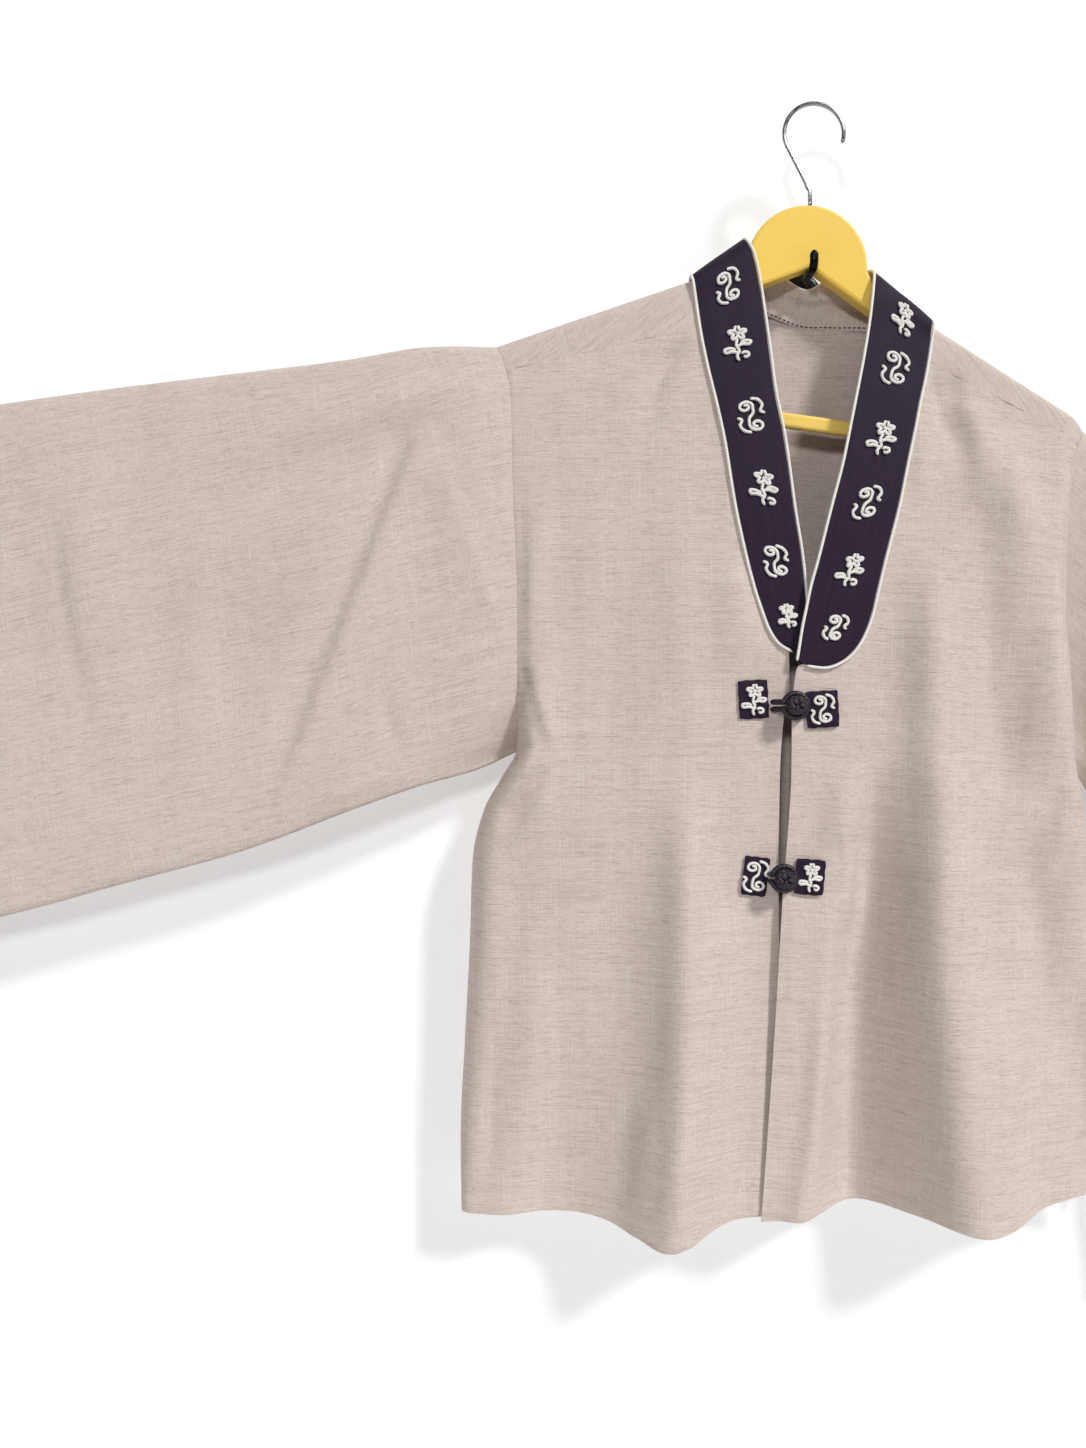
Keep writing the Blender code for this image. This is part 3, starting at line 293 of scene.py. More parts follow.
def fold_sum(folds, x, z, column):
    """Adds up the folds' heights, or their drops."""
    total = np.zeros(np.broadcast(x, z).shape)
    for i, size in enumerate(folds[column]):
        along = (folds["top_z"][i] - z) / (folds["top_z"][i] - folds["low_z"][i])
        if folds["to_hem"][i]:
            strength = ease(along)
        else:
            strength = ease(along / 0.3) * ease((1.0 - along) / 0.5)
        middle = mix(folds["top_x"][i], folds["low_x"][i], along)
        width = folds["width"][i] * (0.65 + 0.35 * np.clip(along, 0.0, 1.0))
        if column == "drop":
            strength = strength ** 6
        total += size * strength * np.exp(-((x - middle) / width) ** 2)
    return total


def creases(lines, x, z):
    """Adds up soft troughs and ridges along their bowed lines."""
    total = np.zeros(np.broadcast(x, z).shape)
    for x0, z0, x1, z1, bow, width, height, starts, ends, lean in zip(*lines.values()):
        run = math.hypot(x1 - x0, z1 - z0)
        along = ((x - x0) * (x1 - x0) + (z - z0) * (z1 - z0)) / run ** 2
        aside = ((z - z0) * (x1 - x0) - (x - x0) * (z1 - z0)) / run
        aside = aside + 4.0 * bow * along * (1.0 - along)
        aside = aside / np.where(aside > 0.0, lean, 1.0)
        strength = ease(along / starts) * ease((1.0 - along) / ends)
        if ends < OFF_THE_EDGE:
            strength = ease(along / starts) * ease((PAST_THE_EDGE - along) / 0.02)
        total += height * strength * np.exp(-(aside / (width * (0.75 + 0.4 * along))) ** 2)
    return total


def ripple(x, z, seed, length, stretch=1.0):
    """Slight unevenness of cloth, about -1 to 1: seeded waves, "stretch" times as long down it as across."""
    draw = np.random.default_rng(seed)
    down = z / stretch
    total = np.zeros(np.broadcast(x, z).shape)
    for angle in np.linspace(0.0, math.pi, 11, endpoint=False):
        angle += draw.uniform(-0.14, 0.14)
        wave = length * draw.uniform(0.65, 1.7)
        phase = draw.uniform(0.0, 2.0 * math.pi)
        wander = 0.6 * np.sin((down * math.cos(angle) - x * math.sin(angle)) / length + phase * 3.0)
        along = x * math.cos(angle) + down * math.sin(angle)
        total += np.cos(2.0 * math.pi * along / wave + phase + wander)
    return total / 4.0


def unevenness(x, z, seed, waves):
    """Adds up ripples of more than one size."""
    total = 0.0
    for i, (height, length, stretch) in enumerate(zip(*waves.values())):
        total = total + height * ripple(x, z, seed + i, length, stretch)
    return total


def lap_edge(z):
    return CENTRE_TOP[0] + (z - CENTRE_TOP[1]) * CENTRE_LEAN


def front_off(x, z, side):
    """How far off the wall a front lies: side is 1 for the wearer's left, which laps over."""
    below = ridge_z(x) - z
    aside = np.abs(x - lap_edge(z) - 2.0) / BODY_HALF
    fall = SIDE_FALL * ease((below - 40.0) / 200.0)
    near_lap = np.exp(-((x - lap_edge(z)) / LAP_REACH) ** 2)
    lift = (LAP_OVER if side > 0 else LAP_UNDER) * near_lap
    folds = fold_sum(FRONT_FOLDS, x, z, "height")
    return read(FRONT_DRAPE, "below", "off", below) - fall * aside ** 4 + folds + lift


def seam_off(front, z):
    """Distance off the wall of one side of a side seam, which opens in the slit."""
    opening = SEAM_STEP + SLIT_OPEN * ease((SLIT_TOP - z) / (SLIT_TOP - SLIT_LOW))
    return SIDE_SEAM_OFF + (opening if front else -opening)


def front_point(rows, side, row, across):
    """Points of a front panel: across runs 0 to 1 on the flat and 1 to 2 where it rolls to the side."""
    x_in, z_in = read(rows, "row", "inner_x", row), read(rows, "row", "inner_z", row)
    x_out = read(rows, "row", "outer_x", row) - side * TRIM
    z_out = read(rows, "row", "outer_z", row)
    wrap = read(rows, "row", "wrap", row)
    roll = SIDE_ROLL / np.abs(x_out - x_in)
    start = mix(x_in, x_out, 1.0 - roll)
    turn = np.clip(across - 1.0, 0.0, 1.0)
    bent = mix(mix(start, x_out, turn), mix(start, x_out, np.sin(turn * math.pi / 2.0)), wrap)
    x = np.where(across <= 1.0, mix(x_in, start, np.minimum(across, 1.0)), bent)
    bend = wrap * (1.0 - np.cos(turn * math.pi / 2.0))
    part = np.where(across <= 1.0, (1.0 - roll) * across, mix(1.0 - roll, 1.0, turn))
    z = mix(z_in, z_out, part)
    off = mix(front_off(x, z, side), seam_off(True, z), bend)
    return np.stack((x, off, z - fold_sum(FRONT_FOLDS, x, z, "drop")), axis=-1)


def lengths(points, axis):
    """Length of cloth from the first row or column to each point, in millimetres."""
    steps = np.linalg.norm(np.diff(points, axis=axis), axis=-1)
    zeros = np.zeros_like(np.take(steps, [0], axis=axis))
    return np.concatenate((zeros, np.cumsum(steps, axis=axis)), axis=axis)


def upright_weave(points, turn):
    """Places in the weave of a hanging panel: its warp hangs straight, but for a turn in degrees."""
    middle = points.shape[1] // 2
    level = lengths(points[..., :2], 1)
    side = np.sign(points[0, -1, 0] - points[0, 0, 0])
    level = points[:, middle, None, 0] + side * (level - level[:, middle, None])
    cos, sin = math.cos(math.radians(turn)), math.sin(math.radians(turn))
    return np.stack((level * cos + points[..., 2] * sin, points[..., 2] * cos - level * sin), axis=-1)


def cloth(name, grids, material, thick=CLOTH, closed=False):
    """Makes a thin sheet from grids of points, each with its places in the weave."""
    corners, faces, places = [], [], []
    first = 0
    for points, weave in grids:
        rows, columns = points.shape[:2]
        corners.append(points.reshape(-1, 3))
        spots = np.arange(rows * columns).reshape(rows, columns)
        quads = np.stack((spots[:-1, :-1], spots[1:, :-1], spots[1:, 1:], spots[:-1, 1:]), axis=-1)
        faces.append(quads.reshape(-1, 4) + first)
        places.append(weave.reshape(-1, 2)[quads.reshape(-1)])
        first += rows * columns
    corners = np.concatenate(corners)
    faces = np.concatenate(faces)
    mesh = bpy.data.meshes.new(name)
    metres = np.stack((corners[:, 0], -corners[:, 1], corners[:, 2]), axis=-1) * MM
    mesh.from_pydata(metres.tolist(), [], faces.tolist())
    mesh.uv_layers.new(name="weave")
    mesh.uv_layers["weave"].data.foreach_set("uv", (np.concatenate(places) * MM).ravel())
    shell = bmesh.new()
    shell.from_mesh(mesh)
    if closed or len(grids) > 1:
        bmesh.ops.remove_doubles(shell, verts=shell.verts, dist=0.00001)
        bmesh.ops.recalc_face_normals(shell, faces=shell.faces)
    for face in shell.faces:
        face.smooth = True
    for edge in shell.edges:
        edge.smooth = not edge.is_boundary
    shell.to_mesh(mesh)
    shell.free()
    mesh.materials.append(material)
    sheet = bpy.data.objects.new(name, mesh)
    bpy.context.scene.collection.objects.link(sheet)
    wall = sheet.modifiers.new("wall", "SOLIDIFY")
    wall.thickness = thick * MM
    wall.offset = 0.0
    return sheet


def add(tree, kind, values=(), **settings):
    """Adds a node with its settings and its sockets' plain values."""
    made = tree.nodes.new(kind)
    for key, value in settings.items():
        setattr(made, key, value)
    for key, value in dict(values).items():
        made.inputs[key].default_value = value
    return made


def blend_colour(tree, share, one, two):
    """Mixes two colours by a share; each is a socket or a plain value."""
    made = add(tree, "ShaderNodeMix", data_type="RGBA")
    for slot, value in ((0, share), (6, one), (7, two)):
        if isinstance(value, bpy.types.NodeSocket):
            tree.links.new(value, made.inputs[slot])
        else:
            made.inputs[slot].default_value = value
    return made.outputs[2]


def streaks(tree, place, wide, high, low_end, high_end, detail=2.0):
    """Mask of streaks of one size, in metres, that run across the cloth or down it."""
    scale = add(tree, "ShaderNodeVectorMath", {1: (1.0 / wide, 1.0 / high, 1.0)}, operation="MULTIPLY")
    tree.links.new(place, scale.inputs[0])
    noise = add(tree, "ShaderNodeTexNoise", {"Scale": 1.0, "Detail": detail}, noise_dimensions="2D")
    tree.links.new(scale.outputs[0], noise.inputs["Vector"])
    cut = add(tree, "ShaderNodeMapRange", {"From Min": low_end, "From Max": high_end})
    tree.links.new(noise.outputs["Fac"], cut.inputs["Value"])
    return cut.outputs["Result"]


def sum_of(tree, *parts):
    """Adds up sockets, each times its own weight."""
    total = None
    for socket, weight in parts:
        step = add(tree, "ShaderNodeMath", {1: weight, 2: 0.0}, operation="MULTIPLY_ADD")
        tree.links.new(socket, step.inputs[0])
        if total is not None:
            tree.links.new(total, step.inputs[2])
        total = step.outputs[0]
    return total


def finish_group(name, given, gives):
    """Starts a shader node group, with its named sockets; gives it, and both its ends to link to."""
    group = bpy.data.node_groups.new(name, "ShaderNodeTree")
    for way, sockets in (("INPUT", given), ("OUTPUT", gives)):
        for socket, kind in sockets.items():
            group.interface.new_socket(socket, in_out=way, socket_type="NodeSocket" + kind)
    return group, add(group, "NodeGroupInput").outputs, add(group, "NodeGroupOutput").inputs


def slubbed_weave():
    """Linen: dark slubs and flecks along the weft, light ends down the warp, and a grain of both."""
    group, given, gives = finish_group(
        "slubbed_weave", {"Place": "Vector", "Thread": "Color", "Slub": "Color", "Light end": "Color"},
        {"Colour": "Color", "Height": "Float"})
    place = given["Place"]
    slubs = streaks(group, place, 0.013, 0.00075, 0.60, 0.74, 1.0)
    long_slubs = streaks(group, place, 0.050, 0.0011, 0.58, 0.72, 1.0)
    flecks = streaks(group, place, 0.0034, 0.0008, 0.68, 0.80, 0.0)
    light_ends = streaks(group, place, 0.0009, 0.050, 0.56, 0.74, 1.0)
    weft = streaks(group, place, 0.0065, 0.00062, 0.25, 0.75, 1.0)
    warp = streaks(group, place, 0.00062, 0.0065, 0.25, 0.75, 1.0)
    bars = streaks(group, place, 0.120, 0.0036, 0.35, 0.70)
    grain = sum_of(group, (weft, 0.19), (warp, 0.10), (bars, 0.10))
    colour = blend_colour(group, grain, given["Thread"], given["Slub"])
    colour = blend_colour(group, sum_of(group, (light_ends, 0.20)), colour, given["Light end"])
    for mask, share in ((long_slubs, 0.22), (slubs, 0.36), (flecks, 0.30)):
        colour = blend_colour(group, sum_of(group, (mask, share)), colour, given["Slub"])
    height = sum_of(group, (weft, 0.5), (warp, 0.3), (slubs, 0.7), (long_slubs, 0.6), (light_ends, 0.5))
    group.links.new(colour, gives["Colour"])
    group.links.new(height, gives["Height"])
    return group


def bare_material(name, rough, metal=0.0, sheen=0.0, coat=0.0):
    """A material whose plain values sit on the shader itself; gives its tree and its shader too."""
    material = bpy.data.materials.new(name)
    material.use_nodes = True
    shader = material.node_tree.nodes["Principled BSDF"]
    shader.inputs["Roughness"].default_value = rough
    shader.inputs["Metallic"].default_value = metal
    shader.inputs["Sheen Weight"].default_value = sheen
    shader.inputs["Sheen Roughness"].default_value = 0.45
    shader.inputs["Coat Weight"].default_value = coat
    return material, material.node_tree, shader


def raise_by(tree, shader, height, distance):
    """Lets a height in 0..1 raise the surface by a distance in metres."""
    bump = add(tree, "ShaderNodeBump", {"Distance": distance, "Strength": 1.0})
    tree.links.new(height, bump.inputs["Height"])
    tree.links.new(bump.outputs["Normal"], shader.inputs["Normal"])


def woven(name, group, colours, rough, bump, sheen):
    """A cloth's material: a weave group read at the cloth's own places."""
    material, tree, shader = bare_material(name, rough, sheen=sheen)
    shader.inputs["Specular IOR Level"].default_value = 0.22
    place = add(tree, "ShaderNodeUVMap", uv_map="weave")
    weave = add(tree, "ShaderNodeGroup", node_tree=group)
    for key, value in colours.items():
        weave.inputs[key].default_value = (*value, 1.0)
    tree.links.new(place.outputs[0], weave.inputs["Place"])
    tree.links.new(weave.outputs["Colour"], shader.inputs["Base Color"])
    raise_by(tree, shader, weave.outputs["Height"], bump)
    return material


LINEN_COLOURS = {
    "Thread": (0.655, 0.563, 0.517),
    "Slub": (0.330, 0.245, 0.204),
    "Light end": (0.80, 0.735, 0.70),
}
linen = woven("linen", slubbed_weave(), LINEN_COLOURS, 0.88, 0.00010, 0.06)


def turned_hem(down):
    """The turn-up along a hem: one more layer of cloth, and a row of stitching that draws it in."""
    layer = HEM_THICK * ease((HEM_TURN - down) / HEM_STITCH)
    stitch = -HEM_DRAWN * np.exp(-((down - HEM_TURN + HEM_STITCH) / 0.9) ** 2)
    return layer + stitch


def drawn_in(gap, place, seed, depth=0.85, reach=1.6):
    """A seam's groove beside an edge, and the slight pucker that its stitches leave."""
    waves = ripple(place, gap * 0.0, seed, 13.0)
    return -depth * np.exp(-(gap / reach) ** 2) + 0.28 * waves * np.exp(-gap / 9.0)


def front_panel(name, rows, side, lines, seed, turn):
    """One front: its edges and folds from the tables, then creases, seams and the hem. Where the tabs are
    sewn on, the cloth lies flat."""
    last = rows["row"][-1]
    keys = np.linspace(0.0, last, 400)
    heights = read(rows, "row", "inner_z", keys) + read(rows, "row", "outer_z", keys)
    down = np.interp(np.linspace(-heights[0], -heights[-1], FRONT_ROWS), -heights, keys)
    across = np.concatenate((np.linspace(0.0, 1.0, FRONT_COLUMNS)[:-1], np.linspace(1.0, 2.0, ROLL_COLUMNS)))
    points = front_point(rows, side, down[:, None], across[None, :])
    x, z = points[..., 0], points[..., 2]
    from_edge, from_top = lengths(points, 1), lengths(points, 0)
    to_seam, to_hem = from_edge[:, -1:] - from_edge, from_top[-1] - from_top
    free = ease((from_edge - 3.0) / 14.0) * ease(to_seam / 12.0)
    relief = creases(lines, x, z) * free * ease(from_top / 20.0)
    for tab_z in TABS_Z:
        beside = np.maximum(0.0, np.abs(x - TABS_X) - TABS_HALF_WIDE)
        over = np.maximum(0.0, np.abs(z - tab_z) - TABS_HALF_HIGH)
        relief *= 1.0 - np.exp(-(beside / 14.0) ** 2 - (over / 18.0) ** 2)
    relief += unevenness(x, z, seed, FRONT_WAVES) * free
    relief += 0.5 * ripple(x, z, seed + 2, 90.0, 3.0) * ease(from_top / 90.0) * free
    relief += drawn_in(to_seam, z, seed + 3, 0.65, 1.2) + drawn_in(from_top, x, seed + 4, 0.05)
    relief += turned_hem(to_hem)
    points[..., 1] += relief
    return cloth(name, [(points, upright_weave(points, turn))], linen)


front_right = front_panel("front_right_cloth", RIGHT_FRONT, -1, RIGHT_FRONT_CREASES, 11, 0.5)
front_left = front_panel("front_left_cloth", LEFT_FRONT, 1, LEFT_FRONT_CREASES, 23, -3.0)
for panel, node, flat, area in (
    (front_right, "front_right", (0.278, 0.690), 0.144),
    (front_left, "front_left", (0.304, 0.682), 0.147),
):
    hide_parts(node)
    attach(panel, "root")


# Back: one length of the same linen from hem to shoulders. It folds forward over the hanger's arms, and the
# shoulder seams lie a little way down the front of each shoulder.
BACK_DRAPE = table(
    ("below", "off"),
    (0, 36.0), (20, 32.0), (50, 25.5), (100, 21.5), (200, 18.0), (400, 15.0), (740, 12.5),
)
BACK_FOLDS = table(
    FOLD_NAMES,
    (-150, -120, -165, -700, 40, -5.0, 0, 1),
    (-70, -180, -95, -700, 34, 4.0, 0, 1),
    (10, -150, -5, -700, 30, -6.0, 0, 1),
    (90, -200, 95, -700, 38, 4.5, 0, 1),
    (160, -240, 172, -690, 30, -5.0, 0, 1),
)
BACK_CREASES = table(
    CREASE_NAMES,
    (-180, -110, -120, -250, 5, 11.0, 3.0, 0.3, 0.5, 1.0),
    (-110, -70, -100, -300, -5, 14.0, -3.2, 0.4, 0.5, 1.0),
    (-34, -60, -30, -300, 4, 11.0, 1.6, 0.4, 0.5, 1.0),
    (22, -66, 18, -260, -3, 10.0, 1.6, 0.3, 0.5, 1.0),
    (60, -90, 72, -330, 5, 14.0, 2.8, 0.4, 0.5, 1.0),
    (190, -150, 130, -300, -6, 11.0, 3.2, 0.3, 0.5, 1.0),
    (-205, -330, -168, -470, 6, 12.0, -3.6, 0.3, 0.5, 1.0),
    (-130, -380, -140, -690, -4, 20.0, 5.0, 0.4, 0.02, 1.0),
    (-40, -420, -50, -700, 4, 17.0, -5.5, 0.4, 0.02, 1.0),
    (44, -360, 50, -700, -4, 19.0, 4.5, 0.4, 0.02, 1.0),
    (126, -400, 134, -700, 3, 17.0, -6.0, 0.4, 0.02, 1.0),
    (200, -340, 178, -480, 4, 11.0, -3.0, 0.3, 0.5, 1.0),
)
BACK_WAVES = table(WAVE_NAMES, (0.5, 50.0, 2.4), (0.15, 16.0, 1.3))
NECK_NAMES = ("inner_x", "inner_z", "inner_off", "outer_x", "outer_z", "outer_off")
NECK_BAND = table(
    NECK_NAMES,
    (-44.5, 12.0, 56.0, -86.6, -9.0, 58.0),
    (-48.5, 22.5, 52.0, -87.6, -2.4, 53.2),
    (-50.0, 26.5, 45.0, -87.6, -1.0, 45.0),
    (-48.0, 26.0, 38.0, -84.5, -3.2, 37.0),
    (-41.0, 23.0, 33.0, -72.0, -9.0, 32.0),
    (-27.0, 14.0, 29.0, -45.0, -14.5, 26.5),
    (-11.0, -1.5, 30.0, -15.0, -21.5, 22.5),
    (2.0, -7.8, 32.0, 2.0, -25.5, 21.5),
    (14.0, -2.0, 30.0, 20.0, -28.5, 21.5),
    (30.0, 7.5, 29.0, 42.0, -31.5, 24.0),
    (42.5, 7.8, 33.0, 68.5, -35.0, 31.5),
    (47.6, 5.2, 38.0, 84.0, -34.0, 36.8),
    (49.2, 2.6, 45.0, 88.2, -34.2, 45.0),
    (48.6, -2.2, 52.0, 88.4, -35.6, 53.6),
    (47.2, -10.0, 56.0, 87.6, -42.6, 58.4),
)
HANGER_OFF = 45.0
RIDGE_ROUND = 9.0
RIDGE_DROP = 7.0
NECK_SEAM_UNDER = 3.5
RIDGE_ROW = 2
SHOULDER_GAP = 0.08
FLAP_ROWS = 15
BACK_COLUMNS = table(
    ("from_place", "to_place", "count"),
    (0.0, 0.12, 12), (0.12, 1.0, 42), (1.0, 2.0, 66), (2.0, 2.88, 42), (2.88, 3.0, 12),
)


def over_ridge(below):
    """What the round of the ridge adds to either face's distance from it, from the top down."""
    part = 1.0 - np.clip(below / RIDGE_DROP, 0.0, 1.0)
    return RIDGE_ROUND * (1.0 - np.sqrt(np.maximum(0.0, 1.0 - part * part)))


def back_off(x, z):
    """How far off the wall the back lies."""
    below = np.maximum(0.0, ridge_z(x) - z)
    drape = read(BACK_DRAPE, "below", "off", below)
    drape = drape + np.where(below < RIDGE_DROP, over_ridge(below), 0.0)
    return drape - fold_sum(BACK_FOLDS, x, z, "height")


def side_wrap(rows, z):
    """How far a panel's side is rolled in at one height: 0 is flat, 1 meets the side seam."""
    return smooth_read(-rows["outer_z"], rows["wrap"], -z)


def back_top(column):
    """Top edge of the back: column runs 0 to 1 on one shoulder, to 2 across the neck, and to 3."""
    u = np.clip(column - 1.0, 0.0, 1.0)
    keys = np.arange(len(NECK_BAND["outer_x"]))
    place = mix(RIDGE_ROW, keys[-1] - RIDGE_ROW, u)
    x = np.clip(smooth_read(keys, NECK_BAND["outer_x"], place), NECK_RIGHT[0], NECK_LEFT[0])
    z = smooth_read(keys, NECK_BAND["outer_z"], place) - NECK_SEAM_UNDER
    ends = ease(np.minimum(u, 1.0 - u) * 8.0)
    x = mix(np.where(u < 0.5, NECK_RIGHT[0], NECK_LEFT[0]), x, ends)
    z = mix(np.where(u < 0.5, NECK_RIGHT[1], NECK_LEFT[1]), z, ends)
    for i, value in enumerate((x, z)):
        value[column < 1.0] = mix(TIP_RIGHT[i], NECK_RIGHT[i], column[column < 1.0])
        value[column > 2.0] = mix(NECK_LEFT[i], TIP_LEFT[i], column[column > 2.0] - 2.0)
    return x, z


def back_side(rows, tip, down):
    """Side edge of the back: the armhole, then the side seam."""
    heights = np.concatenate(([0.0], tip[1] - rows["outer_z"]))
    place = down * heights[-1]
    x = smooth_read(heights, np.concatenate(([tip[0]], rows["outer_x"])), place)
    return x, tip[1] - place, side_wrap(rows, tip[1] - place)


def back_points(down, column):
    """Points of the back, blended from its four edges."""
    t = column / 3.0
    left_x, left_z, left_wrap = back_side(RIGHT_FRONT, TIP_RIGHT, down)
    right_x, right_z, right_wrap = back_side(LEFT_FRONT, TIP_LEFT, down)
    top_x, top_z = back_top(column + 0.0 * down)
    left_end = (RIGHT_FRONT["outer_x"][-1], RIGHT_FRONT["outer_z"][-1])
    right_end = (LEFT_FRONT["outer_x"][-1], LEFT_FRONT["outer_z"][-1])
    low_x = mix(left_end[0], right_end[0], t)
    low_z = mix(left_end[1], right_end[1], t) - 5.0 * np.sin(math.pi * t)
    x = (mix(top_x, low_x, down) + mix(left_x, right_x, t)
         - mix(mix(TIP_RIGHT[0], TIP_LEFT[0], t), mix(left_end[0], right_end[0], t), down))
    z = (mix(top_z, low_z, down) + mix(left_z, right_z, t)
         - mix(mix(TIP_RIGHT[1], TIP_LEFT[1], t), mix(left_end[1], right_end[1], t), down))
    off = back_off(x, z)
    for edge_x, edge_z, wrap, side in ((left_x, left_z, left_wrap, -1), (right_x, right_z, right_wrap, 1)):
        near = np.clip(1.0 - np.abs(x - edge_x) / SIDE_ROLL, 0.0, 1.0)
        bend = wrap * (1.0 - np.sqrt(1.0 - near * near))
        off = mix(off, seam_off(False, edge_z), bend)
        x = x - side * TRIM * near
    return np.stack((x, off, z), axis=-1)


def shoulder_flap(rows, tip, neck, places):
    """The strip of the back that folds forward over one shoulder, from the ridge to the seam."""
    side = 1 if tip[0] > 0 else -1
    flat = 1.0 - SIDE_ROLL / abs(rows["outer_x"][0] - rows["inner_x"][0])
    part = 1.0 - places[None, :]
    across = np.where(part <= flat, part / flat, 1.0 + (part - flat) / (1.0 - flat))
    seam = front_point(rows, side, np.zeros((1, 1)), across)
    rolled_in = seam[..., 1] - front_off(seam[..., 0], seam[..., 2], side)
    fall = (np.linspace(0.0, 1.0, FLAP_ROWS) ** 1.6)[:, None]
    ridge_x, ridge_up = mix(tip[0], neck[0], places[None, :]), mix(tip[1], neck[1], places[None, :])
    x = mix(ridge_x, seam[..., 0], fall)
    z = mix(ridge_up, seam[..., 2] + SHOULDER_GAP, fall)
    below = ridge_up - z
    off = front_off(x, z, side) + rolled_in
    round_in = np.sqrt(1.0 - (1.0 - np.clip(below / RIDGE_DROP, 0.0, 1.0)) ** 2)
    off = mix(HANGER_OFF + 0.56 * rolled_in, off, round_in)
    points = np.stack((x, off, z), axis=-1)
    to_seam = lengths(points, 0)[-1] - lengths(points, 0)
    points[..., 1] += drawn_in(to_seam, x, 31, 0.05)
    return points


def back_panel():
    """The back and its two shoulder strips, sewn from one cloth."""
    down = np.concatenate((np.linspace(0.0, 0.03, 9)[:-1], np.linspace(0.03, 1.0, 190)))[:, None]
    runs = [np.linspace(start, end, int(count))[:-1] for start, end, count in zip(*BACK_COLUMNS.values())]
    places = np.concatenate((*runs, [3.0]))[None, :]
    points = back_points(down, places)
    x, z = points[..., 0], points[..., 2]
    from_side, from_top = lengths(points, 1), lengths(points, 0)
    to_side, to_hem = from_side[:, -1:] - from_side, from_top[-1] - from_top
    free = ease(from_side / 14.0) * ease(to_side / 14.0) * ease(from_top / 30.0)
    relief = -creases(BACK_CREASES, x, z) * free
    relief -= unevenness(x, z, 41, BACK_WAVES) * free
    relief += drawn_in(np.minimum(from_side, to_side), z, 43, -0.7)
    relief -= turned_hem(to_hem)
    points[..., 1] += relief
    shoulder = places[0] <= 1.0
    flaps = []
    for rows, tip, neck in ((RIGHT_FRONT, TIP_RIGHT, NECK_RIGHT), (LEFT_FRONT, TIP_LEFT, NECK_LEFT)):
        flaps.append(shoulder_flap(rows, tip, neck, places[0][shoulder]))
    count = int(shoulder.sum())
    points[0, :count] = flaps[0][0]
    points[0, -count:] = flaps[1][0][::-1]
    weave = upright_weave(points, -1.0)
    grids = [(points, weave)]
    for flap, start in ((flaps[0], weave[0, :count]), (flaps[1], weave[0, -count:][::-1])):
        over = np.repeat(start[None], len(flap), axis=0)
        over[..., 1] += lengths(flap, 0)
        grids.append((flap, over))
    return cloth("back_cloth", grids, linen)


back = back_panel()
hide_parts("back")
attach(back, "root")


# Sleeves: wide straight tubes of the same linen, seamed along the lower edge and sewn to the armholes. The
# wearer's right one stands out to the side, and the left one hangs. Cuffs are turned in.
SLEEVE_NAMES = ("row", "top_x", "top_z", "low_x", "low_z", "middle", "thick")
RIGHT_SLEEVE = table(
    SLEEVE_NAMES,
    (0, -236.0, -53.0, -219.5, -357.0, 43.0, 24.0),
    (1, -262.0, -54.5, -250.0, -370.5, 49.0, 24.0),
    (2, -290.0, -57.3, -290.0, -381.5, 54.0, 22.0),
    (3, -346.0, -68.0, -337.2, -398.0, 58.0, 20.0),
    (4, -430.0, -79.0, -423.0, -430.0, 60.0, 18.0),
    (5, -514.0, -89.6, -500.0, -451.0, 61.0, 18.0),
    (6, -598.0, -101.6, -580.0, -473.0, 62.0, 18.0),
    (7, -655.0, -110.0, -632.0, -485.5, 62.0, 19.0),
    (8, -700.0, -117.0, -672.0, -494.0, 62.0, 22.0),
)
LEFT_SLEEVE = table(
    SLEEVE_NAMES,
    (0, 208.5, -117.7, 201.0, -368.0, 37.0, 22.0),
    (1, 221.0, -131.0, 213.0, -384.0, 36.0, 28.0),
    (2, 238.0, -158.0, 223.0, -406.0, 36.0, 32.0),
    (3, 264.0, -213.0, 233.0, -448.0, 36.0, 34.0),
    (4, 293.0, -284.0, 241.0, -508.0, 35.0, 34.0),
    (5, 322.0, -358.0, 248.0, -572.0, 35.0, 34.0),
    (6, 351.0, -434.0, 255.0, -637.0, 35.0, 33.0),
    (7, 377.0, -504.0, 262.0, -700.0, 35.0, 33.0),
    (8, 397.0, -559.0, 268.0, -750.0, 35.0, 34.0),
)
RIGHT_SLEEVE_FOLDS = table(
    FOLD_NAMES,
    (-300, -100, -215, -320, 14, 2.0, 0, 0),
    (-545, -130, -500, -400, 30, 3.0, 0, 0),
)
LEFT_SLEEVE_FOLDS = table(
    FOLD_NAMES,
    (226, -150, 262, -640, 20, 8.0, 0, 0),
    (238, -180, 308, -640, 18, -8.0, 0, 0),
    (262, -230, 352, -640, 20, 6.0, 0, 0),
)
